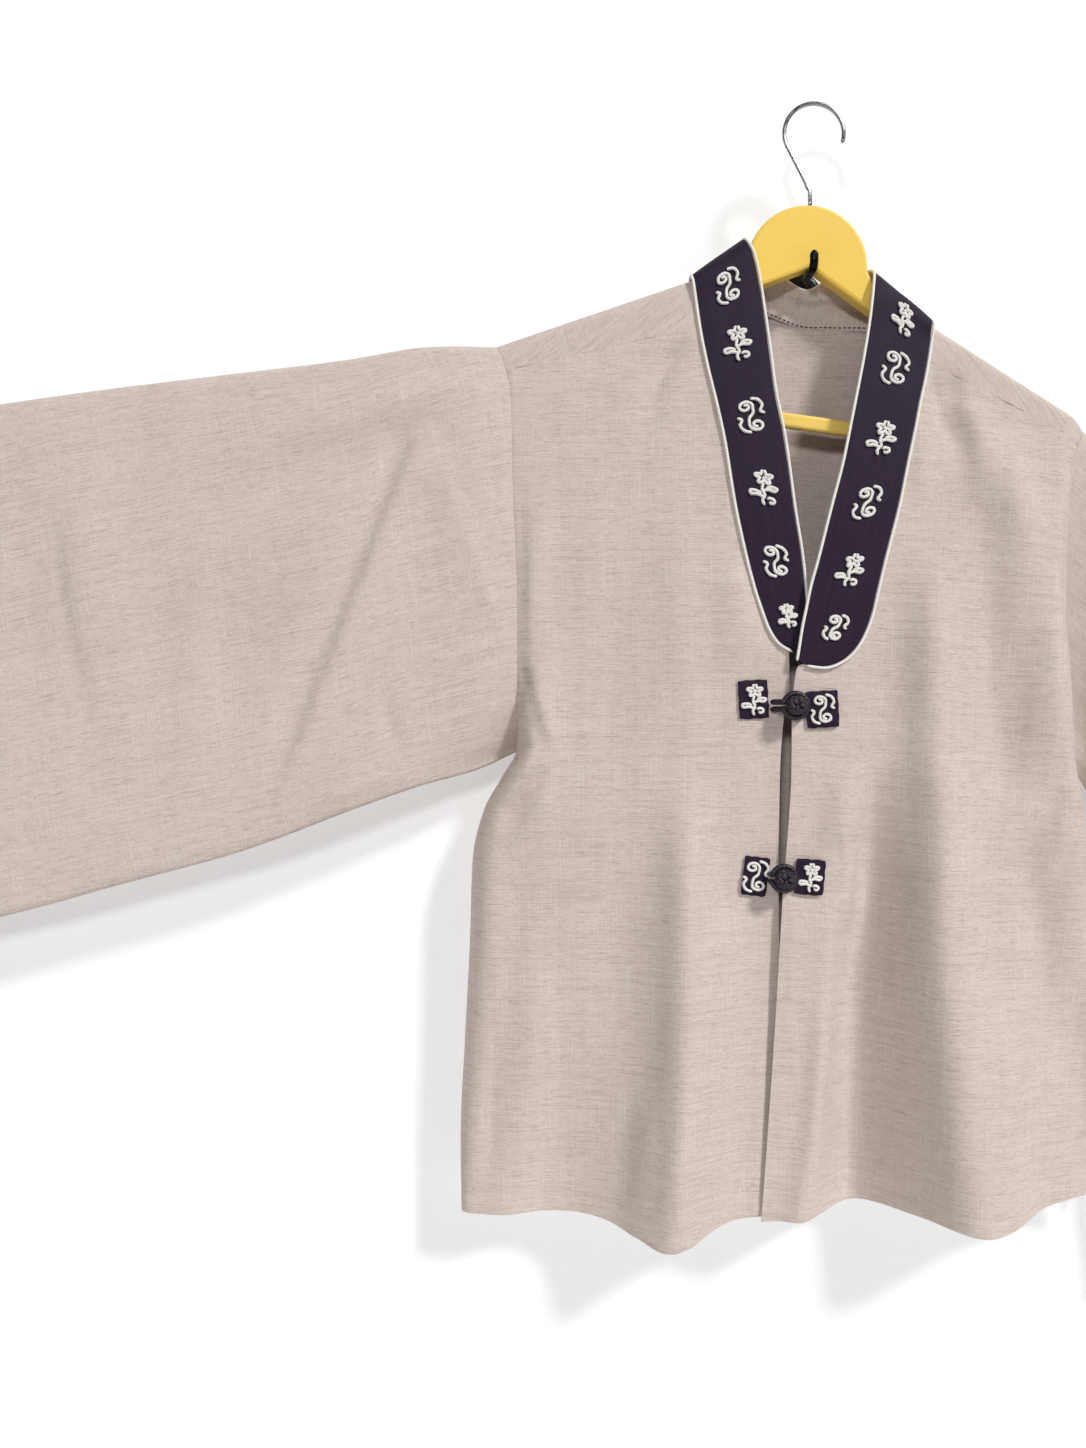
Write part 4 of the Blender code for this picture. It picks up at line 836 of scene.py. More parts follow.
RIGHT_SLEEVE_CREASES = table(
    CREASE_NAMES,
    (-296, -106, -411, -404, 0, 11.0, -3.0, 0.15, 0.25, 1.0),
    (-283, -108, -397, -408, 0, 5.5, 3.0, 0.12, 0.25, 3.6),
    (-288, -108, -222, -304, -3, 3.6, 1.7, 0.2, 0.4, 1.0),
    (-221, -80, -450, -142, 3, 13.0, 3.0, 0.2, 0.5, 1.0),
    (-262, -112, -480, -206, 3, 22.0, -3.4, 0.2, 0.5, 1.0),
    (-340, -262, -696, -330, 0, 72.0, -6.0, 0.3, 0.4, 1.0),
    (-555, -170, -526, -360, 5, 6.5, -0.9, 0.3, 0.4, 1.0),
    (-545, -170, -515, -360, 5, 8.0, 0.9, 0.3, 0.4, 1.0),
    (-450, -150, -470, -420, -8, 16.0, 1.3, 0.4, 0.4, 1.0),
    (-620, -150, -600, -440, 6, 16.0, -1.5, 0.4, 0.4, 1.0),
    (-366, -424, -470, -446, 3, 6.0, -1.6, 0.4, 0.4, 1.0),
    (-300, -366, -372, -404, 3, 6.0, 1.5, 0.4, 0.4, 1.0),
    (-320, -300, -300, -372, 2, 7.0, -1.5, 0.4, 0.4, 1.0),
)
RIGHT_SLEEVE_BEHIND = table(
    CREASE_NAMES,
    (-238, -90, -420, -150, -4, 10.0, 1.9, 0.2, 0.5, 1.0),
    (-236, -130, -340, -380, 6, 8.0, -2.2, 0.2, 0.4, 1.0),
    (-250, -150, -300, -370, -5, 9.0, 2.0, 0.3, 0.4, 1.0),
    (-430, -140, -400, -420, 8, 12.0, 1.5, 0.4, 0.4, 1.0),
    (-560, -150, -530, -440, -7, 13.0, -1.6, 0.4, 0.4, 1.0),
)
LEFT_SLEEVE_CREASES = table(
    CREASE_NAMES,
    (222, -160, 262, -560, -7, 7.0, 2.2, 0.2, 0.4, 1.0),
    (230, -190, 290, -600, 6, 8.0, -2.4, 0.2, 0.4, 1.0),
    (246, -220, 330, -600, -7, 9.0, 1.9, 0.3, 0.4, 1.0),
    (290, -330, 372, -620, 6, 9.0, -1.9, 0.3, 0.3, 1.0),
    (240, -430, 262, -730, 4, 7.0, 1.9, 0.3, 0.1, 1.0),
    (262, -520, 300, -720, -4, 8.0, -1.8, 0.3, 0.1, 1.0),
)
LEFT_SLEEVE_BEHIND = table(
    CREASE_NAMES,
    (214, -170, 262, -600, 7, 9.0, -2.2, 0.2, 0.4, 1.0),
    (232, -200, 318, -600, -6, 9.0, 2.0, 0.2, 0.4, 1.0),
    (262, -260, 352, -600, 6, 10.0, -1.8, 0.3, 0.4, 1.0),
)
SLEEVE_WAVES = table(WAVE_NAMES, (0.5, 52.0, 2.2), (0.15, 16.0, 1.3))
UNDERARM_ROW = 8
SLEEVE_STEP = -0.16
SLEEVE_GRAIN = math.radians(5.0)
ROLL_STEP = 0.6
ROLLED_ROUND = 0.6
RING_FLAT = 0.6
ARMHOLE_FADE = 2.6
UNDERARM_HALF = 2.6
SLEEVE_RINGS = 132
SLEEVE_COLUMNS = 141
CLOSER_AT_EDGES = 0.55
SLEEVE_HIGH = 350.0


def armhole(rows, side, z, tip_z, front):
    """Place of the armhole seam at some heights: on the front, or on the back."""
    x = smooth_read(-rows["outer_z"], rows["outer_x"], -z)
    wrap = side_wrap(rows, z)
    tip_x = (TIP_LEFT if side > 0 else TIP_RIGHT)[0]
    above = (z - rows["outer_z"][0]) / (tip_z - rows["outer_z"][0])
    x = np.where(z > rows["outer_z"][0], mix(rows["outer_x"][0], tip_x, above), x)
    on_front = mix(front_off(x, z, side), seam_off(True, z), wrap)
    below = tip_z - z
    kept_round = mix(1.0, ROLLED_ROUND, wrap)
    on_front = on_front - np.where(below < RIDGE_DROP, over_ridge(below) * kept_round, 0.0)
    on_back = mix(back_off(x, z), seam_off(False, z), wrap)
    return x, np.where(front, on_front, on_back)


def sleeve(name, rows, body, tip, side, folds, lines, behind, seed):
    """A sleeve's tube, ring by ring from the armhole; its seam runs along the lower edge."""
    low_z = body["outer_z"][UNDERARM_ROW]
    last = rows["row"][-1]
    half = np.linspace(0.0, 1.0, SLEEVE_COLUMNS)
    half = half - CLOSER_AT_EDGES * np.sin(2.0 * math.pi * half) / (2.0 * math.pi)
    angle = np.arccos(1.0 - 2.0 * half)
    angle = np.concatenate((angle, 2.0 * math.pi - angle[-2::-1]))[None, :]
    high, swing = 0.5 - 0.5 * np.cos(angle), np.sin(angle)
    swing[0, 0] = swing[0, -1] = 0.0
    swell = np.sign(swing) * np.abs(swing) ** RING_FLAT

    def lens_points(row):
        x = mix(read(rows, "row", "low_x", row), read(rows, "row", "top_x", row), high)
        z = mix(read(rows, "row", "low_z", row), read(rows, "row", "top_z", row), high)
        off = read(rows, "row", "middle", row) + 0.5 * read(rows, "row", "thick", row) * swell
        return np.stack((x, off, z), axis=-1)

    seam_z = mix(low_z, tip[1], high)
    seam_x, seam_at = armhole(body, side, seam_z, tip[1], swing >= 0.0)
    wrap = side_wrap(body, seam_z)
    least = UNDERARM_HALF * np.clip(high * 20.0, 0.0, 1.0)
    spread_off = np.maximum(least, np.abs(seam_at - SIDE_SEAM_OFF))
    seam_at = SIDE_SEAM_OFF + np.sign(swing) * spread_off
    seam_at = np.where(high > 0.999, mix(HANGER_OFF, SIDE_SEAM_OFF, wrap), seam_at)
    seam_at = np.where(high < 0.0002, SIDE_SEAM_OFF, seam_at)
    seam = np.stack((seam_x + side * (SLEEVE_STEP + ROLL_STEP * wrap), seam_at, seam_z), axis=-1)

    keys = np.linspace(0.0, last, 400)
    tops = np.stack((read(rows, "row", "top_x", keys), read(rows, "row", "top_z", keys)), axis=-1)
    run = np.concatenate(([0.0], np.cumsum(np.linalg.norm(np.diff(tops, axis=0), axis=-1))))
    row = np.interp(np.linspace(0.0, run[-1], SLEEVE_RINGS), run, keys)[:, None]
    hold = (1.0 - ease(row / ARMHOLE_FADE))[..., None]
    points = lens_points(row) + hold * (seam - lens_points(np.zeros((1, 1))))
    x, z = points[..., 0], points[..., 2]
    loose, facing = 1.0 - hold[..., 0], np.maximum(0.0, swing)
    away = np.maximum(0.0, -swing)
    big = fold_sum(folds, x, z, "height")
    points[..., 1] += loose * (facing + 0.6 * away) * big
    from_hole = lengths(points, 0)
    to_cuff = from_hole[-1] - from_hole
    free = ease(from_hole / 14.0)
    soft = unevenness(x, z, seed, SLEEVE_WAVES)
    front_side, rear_side = ease(facing * 3.0), ease(away * 3.0)
    relief = (creases(lines, x, z) + soft) * free * front_side
    relief -= (creases(behind, x, z) + soft) * free * rear_side
    relief += (drawn_in(from_hole, z, seed + 2, 0.35, 1.0) + turned_hem(to_cuff)) * (front_side - rear_side)
    edge = np.minimum(high, 1.0 - high) * SLEEVE_HIGH
    relief += 0.3 * ripple(x + z, edge * 0.0, seed + 3, 15.0) * np.exp(-edge / 10.0) * free * (1.0 - high)
    points[..., 1] += relief
    round_it = lengths(points, 1)
    run_out, round_it = side * from_hole, round_it - 0.5 * round_it[:, -1:]
    cos, sin = math.cos(SLEEVE_GRAIN), math.sin(SLEEVE_GRAIN) * -side
    weave = np.stack((run_out * cos + round_it * sin, round_it * cos - run_out * sin), axis=-1)
    return cloth(name, [(points, weave)], linen, closed=True)


sleeve_right = sleeve(
    "sleeve_right_cloth", RIGHT_SLEEVE, RIGHT_FRONT, TIP_RIGHT, -1,
    RIGHT_SLEEVE_FOLDS, RIGHT_SLEEVE_CREASES, RIGHT_SLEEVE_BEHIND, 51)
sleeve_left = sleeve(
    "sleeve_left_cloth", LEFT_SLEEVE, LEFT_FRONT, TIP_LEFT, 1,
    LEFT_SLEEVE_FOLDS, LEFT_SLEEVE_CREASES, LEFT_SLEEVE_BEHIND, 61)
for tube, node, flat, area in (
    (sleeve_right, "sleeve_right", (0.770, 0.480), 0.338),
    (sleeve_left, "sleeve_left", (0.300, 0.480), 0.136),
):
    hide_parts(node)
    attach(tube, "root")


# Collar band: a stiffened band of dark plum cloth that runs up one front, round behind the neck and down
# the other, with round ends where the fronts meet. It is sewn over the edge of the fronts and the back.
BAND_LIFT = 2.0
BAND_CLOTH = 1.5
BAND_WIDE = 45.0
TIP_LONG = 25.0
BAND_NAMES = ("inner_x", "inner_z", "outer_x", "outer_z")
RIGHT_BAND = table(
    BAND_NAMES,
    (-40.5, -4.0, -84.6, -22.0),
    (-36.3, -36.3, -81.6, -45.0),
    (-33.0, -63.0, -76.6, -72.3),
    (-29.9, -89.8, -70.4, -99.3),
    (-23.3, -125.5, -64.7, -127.0),
    (-16.4, -177.8, -57.8, -172.0),
    (-11.0, -211.7, -50.5, -207.0),
    (-8.4, -234.9, -43.0, -236.0),
    (-7.2, -250.0, -37.7, -252.0),
    (-6.8, -262.0, -32.3, -266.0),
    (-7.0, -272.5, -25.5, -276.0),
    (-8.2, -279.5, -15.5, -282.0),
)
LEFT_BAND = table(
    BAND_NAMES,
    (45.4, -22.0, 86.4, -52.0),
    (43.2, -38.0, 84.4, -64.0),
    (38.2, -64.9, 81.4, -79.0),
    (32.5, -91.9, 76.4, -99.2),
    (28.3, -111.4, 72.6, -117.0),
    (21.2, -144.0, 66.6, -143.0),
    (11.9, -178.6, 59.3, -176.0),
    (1.8, -218.5, 49.3, -214.0),
    (-3.1, -236.0, 43.5, -238.0),
    (-6.6, -253.0, 38.6, -258.0),
    (-9.4, -267.0, 31.0, -275.5),
    (-11.3, -279.0, 20.0, -288.0),
    (-12.6, -287.0, 5.0, -293.6),
    (-13.2, -290.6, -8.5, -292.0),
)


def band_stations():
    """The band's sections from the right tip, round behind the neck, to the left tip."""
    lines = []
    for rows, side in ((RIGHT_BAND, -1), (LEFT_BAND, 1)):
        inner = front_off(rows["inner_x"], rows["inner_z"], side) + BAND_LIFT
        outer = front_off(rows["outer_x"], rows["outer_z"], side) + BAND_LIFT
        lines.append(np.stack((rows["inner_x"], inner, rows["inner_z"],
                               rows["outer_x"], outer, rows["outer_z"]), axis=-1))
    order = ("inner_x", "inner_off", "inner_z", "outer_x", "outer_off", "outer_z")
    neck = np.stack([NECK_BAND[name] for name in order], axis=-1)
    return np.concatenate((lines[0][::-1], neck, lines[1]))


STATIONS = band_stations()
STATION_MIDDLES = 0.5 * (STATIONS[:, :3] + STATIONS[:, 3:])
BAND_LENGTHS = lengths(STATION_MIDDLES, 0)
BAND_LENGTH = BAND_LENGTHS[-1]
NECK_FIRST = len(RIGHT_BAND["inner_x"])
NECK_LAST = NECK_FIRST + len(NECK_BAND["inner_x"]) - 1


def band_section(length):
    """Inner and outer edge of the band at some lengths along it."""
    columns = [smooth_read(BAND_LENGTHS, STATIONS[:, j], length) for j in range(6)]
    return np.stack(columns[:3], axis=-1), np.stack(columns[3:], axis=-1)


def unit(vectors):
    return vectors / np.maximum(np.linalg.norm(vectors, axis=-1, keepdims=True), 1e-9)


def band_point(length, across, lift=0.0):
    """Points of the band: across runs 0 to 1 from the free edge, and lift moves them off its face."""
    length, across, lift = np.broadcast_arrays(np.asarray(length, float), across, lift)
    inner, outer = band_section(length)
    near = band_section(np.maximum(0.0, length - 2.0))
    far = band_section(np.minimum(BAND_LENGTH, length + 2.0))
    run = unit(far[0] + far[1] - near[0] - near[1])
    inward = unit(np.cross(run, outer - inner))
    return mix(inner, outer, across[..., None]) - inward * lift[..., None]


def weave_places(points):
    """Places in the weave: warp runs down from the middle row, weft out from the middle column."""
    across, down = lengths(points, 1), lengths(points, 0)
    across = across - across[:, across.shape[1] // 2, None]
    down = down - down[down.shape[0] // 2]
    return np.stack((across, -down), axis=-1)


def dark_weave():
    """Plum cloth: a close, even weave with faint streaks along it and a little lint."""
    group, given, gives = finish_group(
        "dark_weave", {"Place": "Vector", "Ground": "Color", "Worn": "Color"},
        {"Colour": "Color", "Height": "Float"})
    place = given["Place"]
    along = streaks(group, place, 0.0035, 0.045, 0.35, 0.75)
    close = streaks(group, place, 0.0008, 0.0008, 0.3, 0.7, 3.0)
    lint = streaks(group, place, 0.0012, 0.0016, 0.70, 0.80)
    colour = blend_colour(group, sum_of(group, (along, 0.35), (close, 0.25)), given["Ground"], given["Worn"])
    colour = blend_colour(group, sum_of(group, (lint, 0.05)), colour, (0.45, 0.38, 0.42, 1.0))
    height = sum_of(group, (along, 0.4), (close, 0.8))
    group.links.new(colour, gives["Colour"])
    group.links.new(height, gives["Height"])
    return group


PLUM_COLOURS = {"Ground": (0.0125, 0.0036, 0.0170), "Worn": (0.024, 0.0095, 0.031)}
plum = woven("plum_cloth", dark_weave(), PLUM_COLOURS, 0.66, 0.00008, 0.02)

band_down = np.concatenate((
    np.linspace(0.0, TIP_LONG, 16)[:-1], np.linspace(TIP_LONG, BAND_LENGTH - TIP_LONG, 330)[:-1],
    np.linspace(BAND_LENGTH - TIP_LONG, BAND_LENGTH, 16)))[:, None]
band_across = np.linspace(0.0, 1.0, 21)[None, :]
crown = 0.45 * (1.0 - (2.0 * band_across - 1.0) ** 4) - 0.3
crown = crown + 0.16 * ripple(band_down, band_across * BAND_WIDE, 71, 38.0) * np.sin(math.pi * band_across)
band_points = band_point(band_down, band_across, crown)
band = cloth("collar_band_cloth", [(band_points, weave_places(band_points))], plum, BAND_CLOTH)
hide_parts("collar_band")
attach(band, "root")


# Facing: a strip of the linen that lines the band behind the neck. Its lower edge is sewn to the back's
# inside, and the spare cloth lies in two soft folds at the middle.
FACING_CREASES = table(
    CREASE_NAMES,
    (-18, -4, 28, -6, 8, 2.6, 3.6, 0.3, 0.3, 1.0),
    (-14, -9, 34, -11, 8, 2.6, -1.0, 0.3, 0.3, 1.0),
    (8, -18, 38, -20, 4, 3.0, 3.4, 0.3, 0.3, 1.0),
    (-34, 6, -24, -12, 0, 4.0, 1.0, 0.4, 0.4, 1.0),
)
FACING_CLOTH = 0.8
FACING_DROP = 2.4
FACING_UNDER = 4.4
FACING_TOP = 1.2
FACING_RISE = 1.5
FACING_EDGE = 5.7
facing_down = np.linspace(BAND_LENGTHS[NECK_FIRST], BAND_LENGTHS[NECK_LAST], 118)[:, None]
facing_across = np.linspace(0.0, 1.0, 19)[None, :]
inner, outer = band_section(facing_down[:, 0])
wide = np.linalg.norm(outer - inner, axis=-1)[:, None]
round_neck = (facing_down - facing_down[0]) / (facing_down[-1] - facing_down[0])
behind_neck = ease(1.6 * np.sin(math.pi * round_neck) - 0.35)
lowest = mix(0.8, 1.0 + FACING_UNDER / wide, behind_neck)
facing_drop = mix(FACING_TOP, FACING_DROP, ease(facing_across * 4.0))
facing_drop = facing_drop + FACING_EDGE * behind_neck * ease(facing_across * 3.0 - 1.8)
facing_points = band_point(facing_down, mix(-FACING_RISE / wide, lowest, facing_across), -facing_drop)
facing_x, facing_z = facing_points[..., 0], facing_points[..., 2]
slack = creases(FACING_CREASES, facing_x, facing_z) + 0.2 * ripple(facing_x, facing_z, 77, 20.0)
facing_points[..., 1] += slack * ease(facing_across * 4.0) * ease((1.0 - facing_across) * 4.0)
facing = cloth("collar_facing_cloth", [(facing_points, weave_places(facing_points))], linen, FACING_CLOTH)
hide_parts("collar_facing")
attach(facing, "root")


# Piping: two white cords covered in bias-cut cloth. One is caught in the band's free edge and the other in
# the seam that joins the band to the fronts and the back.
PIPING_RADIUS = 1.1
PIPING_OUT = 1.7


def cord_twist():
    """The turns of a twisted or bias-covered cord: fine slanting ridges, painted shade between them, worn
    marks.
    """
    group, given, gives = finish_group(
        "cord_twist", {"Place": "Vector", "Turns to the metre": "Float", "Cord": "Color", "Shade": "Color"},
        {"Colour": "Color", "Height": "Float"})
    slant = add(group, "ShaderNodeMapping", {"Rotation": (0.0, 0.0, math.radians(38.0))})
    group.links.new(given["Place"], slant.inputs["Vector"])
    turns = add(group, "ShaderNodeTexWave", {"Distortion": 1.2, "Detail": 1.0})
    group.links.new(given["Turns to the metre"], turns.inputs["Scale"])
    group.links.new(slant.outputs[0], turns.inputs["Vector"])
    worn = streaks(group, given["Place"], 0.004, 0.004, 0.3, 0.8)
    # Painted shade: the grooves between the turns are pulled toward the shade colour; the worn marks are
    # real.
    share = sum_of(group, (turns.outputs["Fac"], -0.35), (worn, 0.25))
    lifted = add(group, "ShaderNodeMath", {1: 0.35}, operation="ADD", use_clamp=True)
    group.links.new(share, lifted.inputs[0])
    colour = blend_colour(group, lifted.outputs[0], given["Cord"], given["Shade"])
    group.links.new(colour, gives["Colour"])
    group.links.new(turns.outputs["Fac"], gives["Height"])
    return group


TWIST = cord_twist()


def cord_material(name, colour, shade, rough, twist, sheen):
    """Cord with painted shade between its turns and darker worn marks; twist is one turn's length, in metres.
    """
    material, tree, shader = bare_material(name, rough, sheen=sheen)
    place = add(tree, "ShaderNodeUVMap", uv_map="weave")
    turns = add(tree, "ShaderNodeGroup", node_tree=TWIST)
    turns.inputs["Turns to the metre"].default_value = 1.0 / twist
    turns.inputs["Cord"].default_value = (*colour, 1.0)
    turns.inputs["Shade"].default_value = (*shade, 1.0)
    tree.links.new(place.outputs[0], turns.inputs["Place"])
    tree.links.new(turns.outputs["Colour"], shader.inputs["Base Color"])
    raise_by(tree, shader, turns.outputs["Height"], 0.00012)
    return material


# Its second colour is the painted shade between the cord's turns.
white_cord = cord_material("white_cord", (0.87, 0.85, 0.81), (0.66, 0.62, 0.56), 0.62, 0.006, 0.1)


def cord_mesh(name, lines, radius, material, sides=10, fray=0.0):
    """Cords along lines of points, as one mesh of closed tubes with rounded ends."""
    corners, faces, places = [], [], []
    first = 0
    turn = np.linspace(0.0, 2.0 * math.pi, sides, endpoint=False)
    for line in lines:
        line = np.asarray(line, float)
        run = unit(np.gradient(line, axis=0))
        side_way = np.cross(run[0], (0.0, 1.0, 0.0))
        if np.linalg.norm(side_way) < 0.1:
            side_way = np.cross(run[0], (0.0, 0.0, 1.0))
        ways = []
        for direction in run:
            side_way = side_way - direction * side_way.dot(direction)
            side_way = side_way / np.linalg.norm(side_way)
            ways.append(side_way)
        ways = np.array(ways)
        over = np.cross(run, ways)
        length = lengths(line, 0)
        ends = np.sqrt(np.clip(np.minimum(length, length[-1] - length) / radius, 0.02, 1.0))
        thick = radius * ends * (1.0 + fray * np.sin(length * 2.1) * np.sin(length * 0.83 + 1.0))
        ring = (ways[:, None] * np.cos(turn)[None, :, None] + over[:, None] * np.sin(turn)[None, :, None])
        corners.append((line[:, None] + ring * thick[:, None, None]).reshape(-1, 3))
        count = len(line)
        spots = np.arange(count * sides).reshape(count, sides) + first
        after = np.roll(spots, -1, axis=1)
        quads = np.stack((spots[:-1], after[:-1], after[1:], spots[1:]), axis=-1).reshape(-1, 4)
        faces.extend(quads.tolist())
        faces.append(spots[0][::-1].tolist())
        faces.append(spots[-1].tolist())
        spin = np.arange(sides) * (2.0 * math.pi * radius / sides)
        spin_after = spin + 2.0 * math.pi * radius / sides
        for i in range(count - 1):
            for j in range(sides):
                places.extend(((length[i], spin[j]), (length[i], spin_after[j]),
                               (length[i + 1], spin_after[j]), (length[i + 1], spin[j])))
        places.extend([(length[0], spin[j]) for j in range(sides)][::-1])
        places.extend([(length[-1], spin[j]) for j in range(sides)])
        first += count * sides
    corners = np.concatenate(corners)
    mesh = bpy.data.meshes.new(name)
    metres = np.stack((corners[:, 0], -corners[:, 1], corners[:, 2]), axis=-1) * MM
    mesh.from_pydata(metres.tolist(), [], faces)
    mesh.uv_layers.new(name="weave")
    mesh.uv_layers["weave"].data.foreach_set("uv", (np.array(places) * MM).ravel())
    made = bmesh.new()
    made.from_mesh(mesh)
    bmesh.ops.recalc_face_normals(made, faces=made.faces)
    made.to_mesh(mesh)
    made.free()
    mesh.polygons.foreach_set("use_smooth", [True] * len(mesh.polygons))
    mesh.materials.append(material)
    cord = bpy.data.objects.new(name, mesh)
    bpy.context.scene.collection.objects.link(cord)
    return cord


def beside_edge(places, outside):
    """Line of the piping, square off one edge of the band."""
    inner, outer = band_section(places)
    edge, out = (outer, outer - inner) if outside else (inner, inner - outer)
    run = unit(np.gradient(edge, axis=0))
    square = unit(out - run * np.sum(out * run, axis=-1, keepdims=True))
    line = edge + square * PIPING_OUT
    kept = [line[0]]
    for spot in line[1:]:
        if np.linalg.norm(spot - kept[-1]) > 1.2 * PIPING_RADIUS:
            kept.append(spot)
    return np.array(kept)


for name, outside in (("piping_inner", False), ("piping_outer", True)):
    piping = cord_mesh(name + "_cord", [beside_edge(np.linspace(0.0, BAND_LENGTH, 520), outside)],
                       PIPING_RADIUS, white_cord, 12)
    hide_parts(name)
    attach(piping, "root")


# Ornaments on the band: cream cord laid down in patterns of our own and sewn over, a cloud scroll and a
# blossom sprig by turns. Each is drawn in a frame two units high and centred on its place.
ORNAMENT_CORD = 1.18
ORNAMENT_WIDEN = 1.28
ORNAMENT_FRAY = 0.10
STROKE_STEP = 0.05
ORNAMENTS = table(
    ("side", "z", "kind", "high", "turn"),
    (-1, -7.5, 0, 26.0, 4.0), (-1, -56.0, 1, 28.0, -3.0), (-1, -110.5, 0, 27.0, 2.0),
    (-1, -163.0, 1, 28.0, -4.0), (-1, -217.0, 0, 25.0, 3.0), (-1, -257.0, 1, 19.0, 0.0),
    (1, -33.0, 1, 25.0, -3.0), (1, -75.0, 0, 27.0, 4.0), (1, -127.0, 1, 28.0, -2.0),
    (1, -175.0, 0, 26.0, 3.0), (1, -224.0, 1, 26.0, -4.0), (1, -266.0, 0, 21.0, 0.0),
)


def spiral(centre, start, end, from_turn, to_turn, count=16):
    """Points of a spiral; turns are in degrees."""
    angle = np.radians(np.linspace(from_turn, to_turn, count))
    radius = np.linspace(start, end, count)
    return np.stack((centre[0] + radius * np.cos(angle), centre[1] + radius * np.sin(angle)), axis=-1)


def eased_line(points):
    """A smooth line through a few points, at even steps."""
    points = np.asarray(points, float)
    run = lengths(points, 0)
    count = max(6, int(run[-1] / STROKE_STEP))
    at = np.linspace(0.0, run[-1], count)
    slopes = np.gradient(points, run, axis=0)
    i = np.clip(np.searchsorted(run, at, side="right") - 1, 0, len(run) - 2)
    width = (run[i + 1] - run[i])[:, None]
    u = ((at - run[i])[:, None]) / width
    return ((2 * u ** 3 - 3 * u ** 2 + 1) * points[i] + (u ** 3 - 2 * u ** 2 + u) * width * slopes[i]
            + (3 * u ** 2 - 2 * u ** 3) * points[i + 1] + (u ** 3 - u ** 2) * width * slopes[i + 1])


def cloud_scroll():
    """Two curls joined by a wave, with a smaller crest on either side."""
    upper = spiral((-0.16, 0.52), 0.07, 0.33, 500.0, -20.0, 22)
    lower = spiral((0.16, -0.52), 0.33, 0.07, 160.0, 680.0, 22)
    body = np.concatenate((upper, [(0.10, 0.12), (-0.10, -0.12)], lower))
    crest = [(0.12, 0.93), (0.42, 0.80), (0.56, 0.46), (0.44, 0.16), (0.62, 0.02)]
    return [body, crest, [(-x, -y) for x, y in crest]]


def blossom_sprig():
    """A five-petalled blossom on a stem with two leaves."""
    angle = np.linspace(0.0, 2.0 * math.pi, 61)
    radius = 0.27 + 0.11 * np.cos(5.0 * angle)
    petals = np.stack((0.06 + radius * np.sin(angle), 0.52 + radius * np.cos(angle)), axis=-1)
    eye = spiral((0.06, 0.52), 0.03, 0.08, 0.0, 420.0, 9)
    stem = [(0.04, 0.22), (-0.04, -0.10), (0.05, -0.45), (-0.06, -0.72), (0.02, -0.98)]
    leaf = [(0.0, -0.20), (0.22, -0.10), (0.50, -0.14), (0.58, -0.02), (0.34, 0.06), (0.12, -0.02)]
    low_leaf = [(0.02, -0.56), (-0.22, -0.44), (-0.52, -0.46), (-0.56, -0.32), (-0.30, -0.26),
                (-0.08, -0.38)]
    curl = spiral((0.30, -0.72), 0.20, 0.05, 150.0, -200.0, 12)
    return [petals, eye, stem, leaf, low_leaf, curl]


PATTERNS = (cloud_scroll(), blossom_sprig())


def ornament_lines(kind, high, turn, place):
    """Lines of one ornament: place() takes millimetres right and up to points of the ground."""
    lines = []
    cos, sin = math.cos(math.radians(turn)), math.sin(math.radians(turn))
    for i, stroke in enumerate(PATTERNS[kind]):
        stroke = eased_line(stroke) * high / 2.0 * (ORNAMENT_WIDEN, 1.0)
        right, up = stroke[:, 0] * cos - stroke[:, 1] * sin, stroke[:, 0] * sin + stroke[:, 1] * cos
        lines.append(place(right, up, ORNAMENT_CORD * (0.75 + 0.22 * (i % 2))))
    return lines


def on_band(side, z):
    """Gives the place() of an ornament whose middle lies at one height on one side of the band."""
    if side < 0:
        heights, reach = STATION_MIDDLES[:NECK_FIRST, 2], BAND_LENGTHS[:NECK_FIRST]
    else:
        heights, reach = -STATION_MIDDLES[NECK_LAST + 1:, 2], BAND_LENGTHS[NECK_LAST + 1:]
        z = -z
    middle = float(np.interp(z, heights, reach))
    inner, outer = band_section(np.array([middle]))
    wide = float(np.linalg.norm(outer - inner))

    def place(right, up, lift):
        across = 0.5 + side * right / wide
        return band_point(middle - side * up, across, BAND_CLOTH / 2.0 + 0.15 + lift * 0.75)

    return place


# Its second colour is the painted shade between the cord's turns.
cream_cord = cord_material("cream_cord", (0.86, 0.83, 0.79), (0.60, 0.55, 0.49), 0.55, 0.0045, 0.15)
strokes = []
for side, z, kind, high, turn in zip(*ORNAMENTS.values()):
    strokes += ornament_lines(kind, high, turn, on_band(side, z))
ornaments = cord_mesh("collar_ornaments", strokes, ORNAMENT_CORD, cream_cord, 8, ORNAMENT_FRAY)
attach(ornaments, "root")


# Stitching of the facing: one row of dark thread, sewn by hand, that holds its lower edge to the inside of
# the back. Only the stitches that show between the two sides of the band are made.
SEEN_FROM, SEEN_TO = -38.0, 52.0
STITCH_PITCH = 3.6
STITCH_LENGTH = 2.4
STITCH_LIFT = 0.8
THREAD_RADIUS = 0.42


def stitch_row(points, pitch, length, lift):
    """Short arched lines of thread, evenly spaced along a row of points."""
    run = lengths(points, 0)
    rows = []
    for start in np.arange(1.0, run[-1] - length, pitch):
        along = np.linspace(start, start + length, 7)
        line = np.stack([np.interp(along, run, points[:, i]) for i in range(3)], axis=-1)
        line[:, 1] += lift * (0.4 + 0.6 * np.sin(np.linspace(0.0, math.pi, 7)))
        rows.append(line)
    return rows


